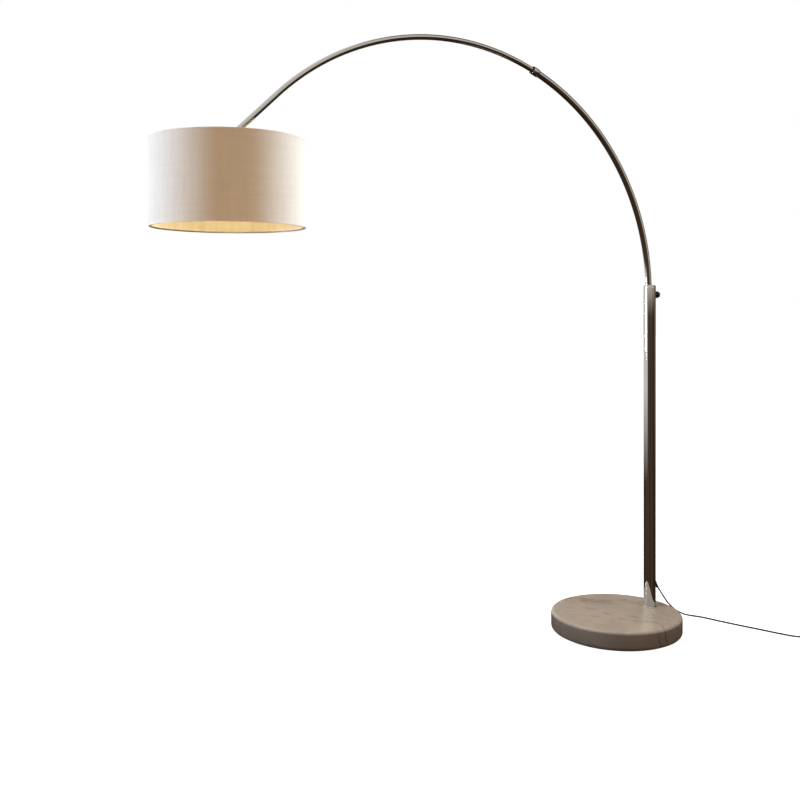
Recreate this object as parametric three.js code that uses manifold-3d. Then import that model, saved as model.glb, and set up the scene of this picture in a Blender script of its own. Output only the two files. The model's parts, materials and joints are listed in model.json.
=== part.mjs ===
// Arc floor lamp: a marble disc with a chromed pole, a chromed arc in two telescoping tubes,
// a fabric drum shade on a tilting knuckle, and a mains cord with a foot switch.
//
// Millimetres, +Z up. The origin is the centre of the base's underside, on the floor.
// The arc lies in the XZ plane and runs from the pole towards -X.

import * as THREE from 'three';
import { mergeVertices } from 'three/addons/utils/BufferGeometryUtils.js';
import Module from 'manifold-3d';

const wasm = await Module();
wasm.setup();

// ---------------------------------------------------------------- driving dimensions

const GAP = 0.3; // kept between pieces that touch

const base = {
  radius: 200,
  top: 60,
  topEdge: 9, // radius of the rounded upper edge
  bottomEdge: 12, // radius of the rounded lower edge
  padRadius: 184,
  padThickness: 3,
  recessRadius: 20, // for the bolt head and washer, under the marble
  recessTop: 13.6,
  boltHole: 6.5,
};

const pole = {
  x: 131, // distance from the base's centre
  outer: 19,
  inner: 17.4,
  top: 1071,
  footRing: 21.3,
  capHeight: 5.5,
};

const arm = {
  x: 126.5, // the tail's axis: the clamp screw holds it off the pole's own axis
  arcRadius: 723,
  springHeight: 1052, // where the straight tail turns into the arc
  tailLength: 352,
  lowerOuter: 10,
  lowerInner: 8.7,
  upperOuter: 8,
  upperInner: 6.8,
  jointAngle: 65.9, // where the lower tube ends, degrees round the arc from the pole
  overlapAngle: 6, // how far the upper tube reaches back inside the lower one
  straightAngle: 134, // where the upper tube leaves the arc and runs straight to its end
  straightLength: 161,
  sides: 12,
};
const arcCentre = new THREE.Vector3(arm.x - arm.arcRadius, 0, arm.springHeight);

const clamp = {
  height: pole.top - 24,
  screwRadius: 3,
  knobRadius: 11,
  knobStart: 20.6, // from the pole's axis
  knobEnd: 35.5,
};

const shade = {
  radius: 200,
  height: 225,
  aboveKnuckle: -5, // from the knuckle's pin up to the top rim
  wall: 0.6,
  sides: 48,
  ringWire: 1.8, // radius of the wire rings
};

const cord = { radius: 2.5, sides: 8 };

const gland = {
  height: 133, // where its axis meets the pole's outer face
  slope: 52, // degrees below level
  length: 22, // from the pole's face to the tip
};

const footSwitch = {
  centre: new THREE.Vector3(500, -328, 0),
  heading: -45, // degrees, along the cord from the lamp to the plug
  radius: 28,
  cordHeight: 4.6,
};

const coil = {
  centre: new THREE.Vector3(560, -293, 0),
  innerTurn: 27.5,
  outerTurn: 32.7,
  bottom: 1,
  height: 15.2,
};

const plug = {
  centre: new THREE.Vector3(624, -214, 0), // middle of its body
  heading: 60,
  length: 34,
  width: 35,
  thickness: 13.6,
  pinSpacing: 19,
  pinLength: 19,
  sleeve: 15,
};

// ---------------------------------------------------------------- materials

const finish = (color, roughness, metalness) => () =>
  new THREE.MeshStandardMaterial({ color, roughness, metalness });

const marble = finish(0xcfc6ba, 0.15, 0);
const chrome = finish(0xc9c9c6, 0.08, 1);
const zincSteel = finish(0xa9a9a4, 0.4, 1);
const brass = finish(0xb8964a, 0.3, 1);
const whiteFabric = finish(0xf2efe8, 0.9, 0);
const creamLining = finish(0xf0dcae, 0.6, 0);
const blackPlastic = finish(0x141414, 0.35, 0);
const blackRubber = finish(0x1a1a1a, 0.7, 0);
const whiteNylon = finish(0xe6e4dc, 0.5, 0);
const porcelain = finish(0xf1efe9, 0.25, 0);
const opalGlass = finish(0xfff3dc, 0.3, 0);
const feltGrey = finish(0x4a4a48, 0.95, 0);
const blackCord = finish(0x101010, 0.5, 0);

// ---------------------------------------------------------------- geometry helpers

const rad = THREE.MathUtils.degToRad;

/** Turns a closed geometry's faces outwards, whichever way it was generated. */
function outward(geometry) {
  const g = geometry.index ? geometry.toNonIndexed() : geometry;
  const p = g.attributes.position;
  const [a, b, c] = [new THREE.Vector3(), new THREE.Vector3(), new THREE.Vector3()];
  let volume = 0;
  for (let i = 0; i < p.count; i += 3) {
    a.fromBufferAttribute(p, i);
    b.fromBufferAttribute(p, i + 1);
    c.fromBufferAttribute(p, i + 2);
    volume += a.dot(b.clone().cross(c));
  }
  if (volume > 0) return g;
  for (let i = 0; i < p.count; i += 3) {
    b.fromBufferAttribute(p, i + 1);
    c.fromBufferAttribute(p, i + 2);
    p.setXYZ(i + 1, c.x, c.y, c.z);
    p.setXYZ(i + 2, b.x, b.y, b.z);
  }
  return g;
}

/** A solid of revolution about +Z from [radius, height] points that start and end on the axis. */
function turned(profile, segments = 24) {
  const points = profile.map(([r, z]) => new THREE.Vector2(r, z));
  return outward(new THREE.LatheGeometry(points, segments).rotateX(Math.PI / 2));
}

/** A ring of revolution about +Z from a closed section of [radius, height] points. */
const turnedRing = (section, segments = 24) => turned([...section, section[0]], segments);

/** A plain disc or rod about +Z. */
const rod = (radius, from, to, segments = 20) =>
  turned([[0, from], [radius, from], [radius, to], [0, to]], segments);

/** A plain bush about +Z. */
const bush = (inner, outer, from, to, segments = 24) =>
  turnedRing([[inner, from], [outer, from], [outer, to], [inner, to]], segments);

const box = (x0, x1, y0, y1, z0, z1) =>
  new THREE.BoxGeometry(x1 - x0, y1 - y0, z1 - z0)
    .translate((x0 + x1) / 2, (y0 + y1) / 2, (z0 + z1) / 2);

/** Points of a circle in the section plane. */
function circlePoints(radius, sides) {
  const points = [];
  for (let i = 0; i < sides; i++) {
    const a = (2 * Math.PI * i) / sides;
    points.push(new THREE.Vector2(radius * Math.cos(a), radius * Math.sin(a)));
  }
  return points;
}

/** A round bar along a path, or a tube where an inner radius is given. */
function swept(path, steps, outer, inner = 0, sides = arm.sides) {
  const section = new THREE.Shape(circlePoints(outer, sides));
  if (inner > 0) section.holes.push(new THREE.Path(circlePoints(inner, sides)));
  return outward(new THREE.ExtrudeGeometry(section, { steps, extrudePath: path }));
}

/** The arm's centre line: the straight tail up to zero degrees, the arc, and a straight end. */
class ArmPath extends THREE.Curve {
  constructor(fromAngle, toAngle, tail = 0, end = 0) {
    super();
    Object.assign(this, { fromAngle, toAngle, tail, end });
  }

  getPoint(t, target = new THREE.Vector3()) {
    const arc = rad(this.toAngle - this.fromAngle) * arm.arcRadius;
    const along = t * (this.tail + arc + this.end) - this.tail;
    if (along < 0) return target.set(arm.x, 0, arm.springHeight + along);
    const a = rad(this.fromAngle) + Math.min(along, arc) / arm.arcRadius;
    const past = Math.max(0, along - arc);
    return target.set(
      arcCentre.x + arm.arcRadius * Math.cos(a) - past * Math.sin(a),
      0,
      arcCentre.z + arm.arcRadius * Math.sin(a) + past * Math.cos(a),
    );
  }
}

const toSolid = (geometry) => {
  const g = geometry.clone();
  g.deleteAttribute('normal');
  g.deleteAttribute('uv');
  const merged = mergeVertices(g, 1e-4);
  return new wasm.Manifold(new wasm.Mesh({
    numProp: 3,
    vertProperties: merged.attributes.position.array,
    triVerts: merged.index.array,
  }));
};

const toGeometry = (solid) => {
  const mesh = solid.getMesh();
  const g = new THREE.BufferGeometry();
  g.setAttribute('position', new THREE.BufferAttribute(Float32Array.from(mesh.vertProperties), 3));
  g.setIndex(Array.from(mesh.triVerts));
  return g;
};

const cut = (geometry, ...tools) =>
  toGeometry(tools.reduce((solid, tool) => solid.subtract(toSolid(tool)), toSolid(geometry)));

const join = (geometry, ...others) =>
  toGeometry(others.reduce((solid, other) => solid.add(toSolid(other)), toSolid(geometry)));

/** Turns a geometry built along +Z so that it points along +X. */
const alongX = (geometry) => geometry.rotateY(Math.PI / 2);

/** Turns a geometry built along +Z so that it points along +Y. */
const alongY = (geometry) => geometry.rotateX(-Math.PI / 2);

// ---------------------------------------------------------------- the scene graph

const lamp = new THREE.Group();

/** Adds one named sub-part to a group, with a material of its own. */
function addPart(name, geometry, material, parent = lamp) {
  const mesh = new THREE.Mesh(geometry, material());
  mesh.name = name;
  parent.add(mesh);
  return mesh;
}

// ---------------------------------------------------------------- base

/** Marble disc with rounded edges, a bolt hole and a recess under it. */
function marbleBase() {
  const { radius, top, topEdge, bottomEdge, padThickness } = base;
  const bottom = padThickness + GAP;
  const profile = [[0, bottom]];
  const arcSteps = 4;
  for (let i = 0; i <= arcSteps; i++) {
    const a = rad(-90 + (90 * i) / arcSteps);
    profile.push([
      radius - bottomEdge + bottomEdge * Math.cos(a),
      bottom + bottomEdge + bottomEdge * Math.sin(a),
    ]);
  }
  for (let i = 0; i <= arcSteps; i++) {
    const a = rad((90 * i) / arcSteps);
    profile.push([
      radius - topEdge + topEdge * Math.cos(a),
      top - topEdge + topEdge * Math.sin(a),
    ]);
  }
  profile.push([0, top]);
  const hole = rod(base.boltHole, 0, top + 1).translate(pole.x, 0, 0);
  const recess = rod(base.recessRadius, 0, base.recessTop).translate(pole.x, 0, 0);
  return cut(turned(profile, 48), hole, recess);
}

addPart('base_pad', rod(base.padRadius, 0, base.padThickness, 64), feltGrey);
addPart('marble_base', marbleBase(), marble);

// ---------------------------------------------------------------- pole

const poleGroup = new THREE.Group();
poleGroup.position.x = pole.x;
lamp.add(poleGroup);

const poleFoot = base.top + GAP;
const glandAxis = new THREE.Vector3(Math.cos(rad(gland.slope)), 0, -Math.sin(rad(gland.slope)));

/** Places a shape built along +Z on the cord gland's axis, from the pole's face outwards. */
const onGlandAxis = (geometry) =>
  geometry.rotateY(rad(90 + gland.slope)).translate(pole.outer, 0, gland.height);

/** Pole with the holes for the clamp screw and the cord gland. */
function poleTube() {
  const { outer, inner, top } = pole;
  const screwHole = alongX(rod(clamp.screwRadius + 1.2, 0, outer + 5)).translate(0, 0, clamp.height);
  const glandHole = onGlandAxis(rod(5.4, -9, 8));
  return cut(bush(inner, outer, poleFoot, top, 32), screwHole, glandHole);
}

/** Hexagon-headed bolt from under the marble into the pole's foot plug. */
function baseBolt() {
  const headBottom = base.padThickness + 1;
  const headTop = headBottom + 6.4;
  const head = rod(9.6, headBottom, headTop, 6);
  return join(head, rod(5, headTop - 1, 88, 20));
}

addPart('base_bolt', baseBolt(), zincSteel, poleGroup);
addPart('base_washer', bush(5.6, 18, base.recessTop - 2.6, base.recessTop - GAP), zincSteel, poleGroup);
addPart('pole_foot_plug', bush(5.5, pole.inner - GAP, poleFoot, 95), zincSteel, poleGroup);
addPart(
  'pole_foot_ring',
  turnedRing([
    [pole.outer + GAP, poleFoot],
    [pole.footRing, poleFoot],
    [pole.footRing, poleFoot + 2],
    [pole.outer + 0.9, poleFoot + 3.2],
    [pole.outer + GAP, poleFoot + 3.2],
  ], 40),
  chrome,
  poleGroup,
);
addPart('pole_tube', poleTube(), chrome, poleGroup);

const tailOffset = arm.x - pole.x;
const screwBore = () =>
  alongX(rod(clamp.screwRadius + 0.7, 0, 30)).translate(0, 0, clamp.height);

/** Nylon sleeve that guides the arm's tail in the pole's mouth, bored off centre. */
function poleBush() {
  const sleeve = rod(pole.inner - GAP, pole.top - 42, pole.top, 40);
  const bore = rod(arm.lowerOuter + 0.5, 0, pole.top + 1, 32).translate(tailOffset, 0, 0);
  return cut(sleeve, bore, screwBore());
}

/** Chamfered chrome cap over the pole's mouth. */
function poleCap() {
  const from = pole.top + GAP;
  const cap = turned([
    [0, from],
    [pole.outer, from],
    [pole.outer, from + 1.5],
    [pole.outer - 2.4, from + pole.capHeight],
    [0, from + pole.capHeight],
  ], 40);
  const bore = rod(arm.lowerOuter + 1.1, 0, pole.top + 20, 32).translate(tailOffset, 0, 0);
  return cut(cap, bore);
}

addPart('pole_bush', poleBush(), whiteNylon, poleGroup);
addPart('pole_cap', poleCap(), chrome, poleGroup);

// ---------------------------------------------------------------- arm clamp

/** Knob outline with shallow flutes. */
function flutedOutline(radius, flutes) {
  const points = [];
  const pointsPerFlute = 4;
  for (let i = 0; i < flutes * pointsPerFlute; i++) {
    const a = (2 * Math.PI * i) / (flutes * pointsPerFlute);
    const r = radius - 0.7 + 0.7 * Math.cos(flutes * a);
    points.push(new THREE.Vector2(r * Math.cos(a), r * Math.sin(a)));
  }
  return points;
}

/** Fluted clamp knob, narrower at its outer end, bored for the screw. */
function clampKnob() {
  const bevel = 2.2;
  const length = clamp.knobEnd - clamp.knobStart;
  const grip = outward(new THREE.ExtrudeGeometry(
    new THREE.Shape(flutedOutline(clamp.knobRadius - bevel, 8)),
    {
      depth: length - 2 * bevel,
      steps: 1,
      bevelThickness: bevel,
      bevelSize: bevel,
      bevelSegments: 2,
    },
  )).translate(0, 0, clamp.knobStart + bevel);
  const bore = rod(clamp.screwRadius + GAP, 0, clamp.knobEnd - 3);
  return alongX(cut(grip, bore)).translate(0, 0, clamp.height);
}

const padStart = tailOffset + arm.lowerOuter + GAP;
const padEnd = padStart + 3;
addPart(
  'clamp_pad',
  alongX(rod(3.2, padStart, padEnd)).translate(0, 0, clamp.height),
  brass,
  poleGroup,
);
addPart(
  'clamp_screw',
  alongX(rod(clamp.screwRadius, padEnd + GAP, clamp.knobEnd - 3 - GAP)).translate(0, 0, clamp.height),
  zincSteel,
  poleGroup,
);
addPart('clamp_knob', clampKnob(), blackPlastic, poleGroup);
addPart(
  'clamp_boss',
  alongX(bush(clamp.screwRadius + 0.4, 6.4, pole.outer + GAP, clamp.knobStart - GAP, 24))
    .translate(0, 0, clamp.height),
  chrome,
  poleGroup,
);

// ---------------------------------------------------------------- cord gland and inner lead

/** Tapered rubber strain relief with a collar outside the pole and a neck through its wall. */
function cordGland() {
  const tip = gland.length;
  const outside = turned([
    [0, -6],
    [7, -6],
    [7, 3.4],
    [5.6, 5],
    [3.4, tip],
    [0, tip],
  ], 24);
  const neck = rod(5, -9, 3, 24);
  const poleBody = rod(pole.outer + GAP, 0, 300, 40);
  return join(cut(onGlandAxis(outside), poleBody), onGlandAxis(neck));
}

addPart('cord_gland', cordGland(), blackRubber, poleGroup);

/** A point on the cord gland's axis, measured outwards from the pole's face. */
const glandPoint = (distance) =>
  new THREE.Vector3(pole.x + pole.outer, 0, gland.height).addScaledVector(glandAxis, distance);

const innerLead = new THREE.CatmullRomCurve3([
  glandPoint(-9 - GAP),
  glandPoint(-13),
  new THREE.Vector3(pole.x + 6.5, 0, 152),
  new THREE.Vector3(pole.x + 1.5, 0, 168),
  new THREE.Vector3(pole.x, 0, 200),
  new THREE.Vector3(pole.x - 2, 0, 420),
  new THREE.Vector3(arm.x, 0, 660),
]);
addPart('supply_lead_pole', swept(innerLead, 20, cord.radius, 0, 6), blackCord);

// ---------------------------------------------------------------- lower arm

const tailBottom = arm.springHeight - arm.tailLength;

/** Nylon plug on the tail's lower end, sliding in the pole; the tube turns in its bore. */
function tailGuide() {
  const body = rod(pole.inner - GAP, tailBottom - 12, tailBottom + 24, 40);
  const socket = rod(arm.lowerOuter + 0.4, tailBottom - GAP, tailBottom + 30, 32)
    .translate(tailOffset, 0, 0);
  const leadHole = rod(3.6, tailBottom - 20, tailBottom + 5).translate(tailOffset, 0, 0);
  return cut(body, socket, leadHole);
}

addPart('tail_guide', tailGuide(), whiteNylon, poleGroup);

addPart(
  'lower_arc_tube',
  swept(new ArmPath(0, arm.jointAngle, arm.tailLength), 36, arm.lowerOuter, arm.lowerInner),
  chrome,
);
addPart(
  'supply_lead_lower',
  swept(new ArmPath(0, 38, arm.tailLength - 4), 24, cord.radius, 0, 6),
  blackCord,
);

/** Frame on the arm's centre line: origin on the arc, +Z along the arm away from the pole. */
function armFrame(angle) {
  const group = new THREE.Group();
  new ArmPath(0, angle).getPoint(1, group.position);
  group.rotation.y = -rad(angle);
  lamp.add(group);
  return group;
}

// The collar is straight, so its axis is the arc's tangent a little way back from the joint.
const collarBack = 0.6; // degrees
const collarFrame = new THREE.Group();
collarFrame.position.z = rad(collarBack) * arm.arcRadius;
armFrame(arm.jointAngle - collarBack).add(collarFrame);

const setScrewBack = -6; // from the lower tube's end

/** Turned collar that grips the lower tube's end and tapers down to it. */
function arcCollar() {
  const section = turnedRing([
    [arm.lowerOuter + 0.7, -17],
    [arm.lowerOuter + 1.3, -17],
    [12.2, -11],
    [12.2, 3.4],
    [11.4, 4.4],
    [9.6, 4.4],
    [9.6, GAP],
    [arm.lowerOuter + 0.7, GAP],
  ]);
  const screwHole = alongY(rod(2.3, -20, 0)).translate(0, 0, setScrewBack);
  return cut(section, screwHole);
}

addPart('arc_collar', arcCollar(), chrome, collarFrame);
addPart(
  'collar_bush',
  turnedRing([
    [arm.upperOuter + 0.5, 0.6],
    [9.2, 0.6],
    [9.2, 4.4 + GAP],
    [11.5, 4.4 + GAP],
    [11.9, 6.2],
    [11.5, 8],
    [arm.upperOuter + 0.5, 8],
  ]),
  blackRubber,
  collarFrame,
);
addPart(
  'collar_set_screw',
  alongY(cut(rod(2, -12, -arm.lowerOuter - GAP, 16), rod(1.1, -13, -11, 6)))
    .translate(0, 0, setScrewBack),
  zincSteel,
  collarFrame,
);

// ---------------------------------------------------------------- upper arm

const upperStart = arm.jointAngle - arm.overlapAngle;
addPart(
  'upper_arc_tube',
  swept(
    new ArmPath(upperStart, arm.straightAngle, 0, arm.straightLength),
    32,
    arm.upperOuter,
    arm.upperInner,
  ),
  chrome,
);
addPart(
  'supply_lead_upper',
  swept(
    new ArmPath(upperStart, arm.straightAngle, 0, arm.straightLength - 7.5),
    32,
    cord.radius,
    0,
    6,
  ),
  blackCord,
);

// The knuckle's frame: origin on the pin, +Z back up the arm.
const pinReach = 24;
const knuckleFrame = new THREE.Group();
new ArmPath(0, arm.straightAngle, 0, arm.straightLength + pinReach)
  .getPoint(1, knuckleFrame.position);
knuckleFrame.rotation.y = rad(180 - arm.straightAngle);
lamp.add(knuckleFrame);

/** Fork pressed on the end of the upper tube. */
function knuckleFork() {
  const body = turned([
    [0, -8],
    [6, -8],
    [9.4, -4.5],
    [9.4, 15],
    [10.2, 17],
    [10.2, 35],
    [9.2, 36],
    [0, 36],
  ]);
  const slot = box(-12, 12, -3.4, 3.4, -10, 13);
  const socket = rod(arm.upperOuter + 0.45, pinReach - GAP, 38);
  const leadHole = rod(3.4, 10, 26);
  const pinHole = alongY(rod(2.9, -15, 15));
  return cut(body, slot, socket, leadHole, pinHole);
}

addPart('knuckle_fork', knuckleFork(), chrome, knuckleFrame);
addPart(
  'knuckle_screw',
  alongY(join(rod(2.5, -12, 12.5), rod(4.6, -13.2, -9.9))),
  zincSteel,
  knuckleFrame,
);
addPart(
  'knuckle_nut',
  alongY(cut(
    join(rod(4.8, 9.8, 13, 6), turned([[0, 12.6], [4, 12.6], [3, 15.4], [0, 16.2]], 16)),
    rod(2.9, 9, 12.9, 16),
  )),
  zincSteel,
  knuckleFrame,
);

// ---------------------------------------------------------------- shade and lampholder

const head = new THREE.Group();
head.position.copy(knuckleFrame.position);
lamp.add(head);

/** Tongue in the fork, with a flange and the threaded nipple that carries everything below. */
function knuckleTongue() {
  const eye = alongY(rod(8.2, -3, 3));
  const neck = box(-5, 5, -3, 3, -15, 0);
  const flange = rod(9, -15.7, -13.9);
  const nipple = rod(5, -34, -15);
  const pinHole = alongY(rod(2.8, -5, 5));
  return cut(join(eye, neck, flange, nipple), pinHole);
}

/** Hub and three arms that carry the shade's top ring. */
function spider() {
  const ringHeight = shade.aboveKnuckle - 2 * shade.ringWire - 2.6;
  const reach = shade.radius - 5;
  const hub = bush(5.4, 15, -18, -16, 32);
  const armPath = new THREE.CatmullRomCurve3([
    new THREE.Vector3(11.5, 0, -15),
    new THREE.Vector3(26, 0, -14),
    new THREE.Vector3(reach - 30, 0, ringHeight - 1),
    new THREE.Vector3(reach - 12, 0, ringHeight - 0.3),
    new THREE.Vector3(reach, 0, ringHeight),
  ]);
  const wires = [60, 180, 300].map((angle) =>
    swept(armPath, 8, 2, 0, 6).rotateZ(rad(angle)));
  return join(hub, ...wires);
}

addPart('knuckle_tongue', knuckleTongue(), chrome, head);
addPart('shade_spider', spider(), chrome, head);

addPart(
  'lampholder_cap',
  turnedRing([
    [5.4, -18.3],
    [12.5, -18.3],
    [18.2, -23],
    [20.5, -30],
    [20.5, -45],
    [18.9, -45],
    [18.9, -31],
    [16.6, -25],
    [12, -20.5],
    [5.4, -20.5],
  ]),
  blackPlastic,
  head,
);
addPart('nipple_nut', cut(rod(8.6, -24.5, -20.8, 6), rod(5.4, -30, 0)), zincSteel, head);
addPart('lampholder_insert', rod(18.5, -45, -34.5), porcelain, head);
addPart('contact_tab', rod(3, -48.5, -45.3), brass, head);
addPart('thread_sleeve', bush(13.9, 14.8, -70, -45.3), brass, head);
addPart(
  'lampholder_shell',
  turnedRing([
    [15.6, -45.3],
    [20.5, -45.3],
    [20.5, -60],
    [19.2, -73],
    [16.8, -73],
    [16.8, -62],
    [15.6, -60],
  ]),
  blackPlastic,
  head,
);

addPart(
  'bulb_cap',
  turned([[0, -48.8], [5, -48.8], [9, -52], [13.2, -53], [13.2, -73], [0, -73]], 24),
  zincSteel,
  head,
);
addPart(
  'bulb_housing',
  turned([[0, -73.3], [13.4, -73.3], [15, -80], [24, -100], [28.6, -110], [0, -110]]),
  porcelain,
  head,
);

/** Thin opal globe, open where it sits on the housing. */
function bulbGlobe() {
  const wall = 1;
  const rimAngle = 22; // degrees above the globe's equator, where it meets the housing
  const globeRadius = 30;
  const centre = -110 - GAP - globeRadius * Math.sin(rad(rimAngle));
  const steps = 6;
  const outside = [];
  const inside = [];
  for (let i = 0; i <= steps; i++) {
    const a = rad(-90 + ((90 + rimAngle) * i) / steps);
    outside.push([globeRadius * Math.cos(a), centre + globeRadius * Math.sin(a)]);
    const r = globeRadius - wall;
    inside.push([r * Math.cos(a), centre + r * Math.sin(a)]);
  }
  outside[0][0] = 0;
  inside[0][0] = 0;
  return turned([...outside, ...inside.reverse()], 24);
}

addPart('bulb_globe', bulbGlobe(), opalGlass, head);

const shadeTop = shade.aboveKnuckle;
const shadeBottom = shadeTop - shade.height;
const liningOuter = shade.radius - shade.wall - GAP;

/** Ring of round wire inside the shade. */
function wireRing(height) {
  const centre = liningOuter - shade.wall - 0.9 - shade.ringWire;
  const section = circlePoints(shade.ringWire, 6).map((p) => [centre + p.x, height + p.y]);
  return turnedRing(section, 32);
}

/** Strip folded over the shade's rim, seen as a thin line round its edge. */
const rimBinding = (from, to) => bush(shade.radius + GAP, shade.radius + 0.8, from, to, shade.sides);

addPart(
  'shade_fabric',
  bush(shade.radius - shade.wall, shade.radius, shadeBottom, shadeTop, shade.sides),
  whiteFabric,
  head,
);
addPart(
  'shade_lining',
  bush(liningOuter - shade.wall, liningOuter, shadeBottom + 1, shadeTop - 1, shade.sides),
  creamLining,
  head,
);
addPart('shade_top_ring', wireRing(shadeTop - shade.ringWire - 0.2), zincSteel, head);
addPart('shade_bottom_ring', wireRing(shadeBottom + shade.ringWire + 0.2), zincSteel, head);
addPart('shade_top_binding', rimBinding(shadeTop - 4.5, shadeTop), whiteFabric, head);
addPart('shade_bottom_binding', rimBinding(shadeBottom, shadeBottom + 4.5), whiteFabric, head);

// ---------------------------------------------------------------- foot switch

const switchFrame = new THREE.Group();
switchFrame.position.copy(footSwitch.centre);
switchFrame.rotation.z = rad(footSwitch.heading);
lamp.add(switchFrame);

const sleeveTip = footSwitch.radius + 12;

/** Switch base: a shallow dish with a tapered sleeve where the cord enters and leaves. */
function switchBase() {
  const { radius, cordHeight } = footSwitch;
  const dish = turned([[0, 0], [radius - 2, 0], [radius, 2], [radius, 9.4], [0, 9.4]], 36);
  const sleeve = () =>
    turned([[0, 20], [4.5, 20], [4.4, radius + 1], [3.3, sleeveTip], [0, sleeveTip]], 16);
  const out = alongX(sleeve()).translate(0, 0, cordHeight);
  const back = alongX(sleeve()).rotateZ(Math.PI).translate(0, 0, cordHeight);
  return join(dish, out, back);
}

addPart('switch_base', switchBase(), blackPlastic, switchFrame);
addPart(
  'switch_cover',
  turnedRing([
    [footSwitch.radius, 9.7],
    [footSwitch.radius - 1.4, 15],
    [footSwitch.radius - 6, 20.5],
    [14.2, 22.5],
    [13.2, 22.5],
    [13.2, 14.5],
    [21, 14.5],
    [footSwitch.radius - 4, 9.7],
  ], 36),
  blackPlastic,
  switchFrame,
);
addPart(
  'switch_button',
  turned([[0, 12.8], [12.9, 12.8], [12.9, 25], [11.6, 26.4], [0, 27.2]], 28),
  blackPlastic,
  switchFrame,
);

// ---------------------------------------------------------------- power cord

/** A point on the cord where it meets the foot switch, before it (-1) or after it (1). */
function switchPoint(side, beyond) {
  const reach = side * (sleeveTip + beyond);
  const a = rad(footSwitch.heading);
  return new THREE.Vector3(reach * Math.cos(a), reach * Math.sin(a), footSwitch.cordHeight)
    .add(footSwitch.centre);
}

const leadToSwitch = new THREE.CatmullRomCurve3([
  glandPoint(gland.length + GAP),
  glandPoint(32),
  new THREE.Vector3(181, 2, 93.5),
  new THREE.Vector3(196, 6, 76),
  new THREE.Vector3(212, 10, 59),
  new THREE.Vector3(228, 13, 44.5),
  new THREE.Vector3(245, 16, 31.5),
  new THREE.Vector3(262, 18.5, 21),
  new THREE.Vector3(278, 19.5, 13),
  new THREE.Vector3(292, 18, 7.5),
  new THREE.Vector3(305, 13.5, 4.2),
  new THREE.Vector3(317, 5, 2.9),
  new THREE.Vector3(328, -9, 2.7),
  new THREE.Vector3(340, -34, 2.7),
  new THREE.Vector3(356, -72, 2.7),
  new THREE.Vector3(376, -116, 2.7),
  new THREE.Vector3(398, -162, 2.7),
  new THREE.Vector3(419, -205, 2.7),
  new THREE.Vector3(438, -244, 2.7),
  new THREE.Vector3(454, -275, 3.2),
  switchPoint(-1, 8),
  switchPoint(-1, GAP),
]);

addPart('power_cord_lamp_side', swept(leadToSwitch, 54, cord.radius, 0, cord.sides), blackCord);

const leadToCoil = new THREE.CatmullRomCurve3([
  switchPoint(1, GAP),
  switchPoint(1, 8),
  new THREE.Vector3(546, -368.5, 3.6),
  new THREE.Vector3(562, -370, 3.2),
  new THREE.Vector3(578, -363.5, 3.2),
  new THREE.Vector3(589, -350, 3.2),
  new THREE.Vector3(592.7, -333, 3.3),
  new THREE.Vector3(592.7, -313.5, 3.5),
]);
addPart('power_cord_plug_side', swept(leadToCoil, 12, cord.radius, 0, cord.sides), blackCord);

addPart(
  'cord_coil',
  bush(
    coil.innerTurn - cord.radius,
    coil.outerTurn + cord.radius,
    coil.bottom,
    coil.bottom + coil.height,
    40,
  ).translate(coil.centre.x, coil.centre.y, 0),
  blackCord,
);

// ---------------------------------------------------------------- plug

const plugFrame = new THREE.Group();
plugFrame.position.copy(plug.centre);
plugFrame.rotation.z = rad(plug.heading);
lamp.add(plugFrame);

/** Flat two-pin plug body lying on its side, with a tapered cord sleeve. */
function plugBody() {
  const { length, width, thickness } = plug;
  const [front, half] = [length / 2, width / 2];
  const outline = new THREE.Shape();
  outline.moveTo(front, -half + 3);
  outline.lineTo(front, half - 3);
  outline.lineTo(front - 3, half);
  outline.lineTo(-6, half - 1);
  outline.lineTo(-front, 7);
  outline.lineTo(-front, -7);
  outline.lineTo(-6, -half + 1);
  outline.lineTo(front - 3, -half);
  const body = outward(new THREE.ExtrudeGeometry(outline, {
    depth: thickness - 3,
    steps: 1,
    bevelThickness: 1.5,
    bevelSize: 1.5,
    bevelOffset: -1.5,
    bevelSegments: 2,
  })).translate(0, 0, 1.5);
  const [tip, root] = [-front - plug.sleeve, -front + 4];
  const sleeve = alongX(turned([[0, tip], [3.2, tip], [5, root], [0, root]], 16))
    .translate(0, 0, thickness / 2);
  const pinHole = (y) => alongX(rod(2.3, front - 8, front + 1, 16)).translate(0, y, thickness / 2);
  return cut(join(body, sleeve), pinHole(plug.pinSpacing / 2), pinHole(-plug.pinSpacing / 2));
}

addPart('plug_body', plugBody(), blackPlastic, plugFrame);
for (const [name, side] of [['plug_pin_1', 1], ['plug_pin_2', -1]]) {
  const root = plug.length / 2 - 7.6;
  const tip = plug.length / 2 + plug.pinLength;
  const pin = alongX(turned([[0, root], [2, root], [2, tip - 1], [1.2, tip], [0, tip]], 16));
  pin.translate(0, (side * plug.pinSpacing) / 2, plug.thickness / 2);
  addPart(name, pin, brass, plugFrame);
}

const plugTail = (beyond) => {
  const reach = plug.length / 2 + plug.sleeve + beyond;
  const a = rad(plug.heading);
  return new THREE.Vector3(-reach * Math.cos(a), -reach * Math.sin(a), plug.thickness / 2)
    .add(plug.centre);
};

// The last turn lies on the inside of the coil, so the cord leaves it over the outer turns.
const leadToPlug = new THREE.CatmullRomCurve3([
  new THREE.Vector3(587.4, -296, 19.1),
  new THREE.Vector3(589.4, -284, 19.3),
  new THREE.Vector3(592.4, -272, 18.2),
  new THREE.Vector3(596.8, -261.5, 14.8),
  new THREE.Vector3(601.2, -253.2, 10.4),
  plugTail(5),
  plugTail(GAP),
]);
addPart('power_cord_tail', swept(leadToPlug, 14, cord.radius, 0, cord.sides), blackCord);

export default lamp;
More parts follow.
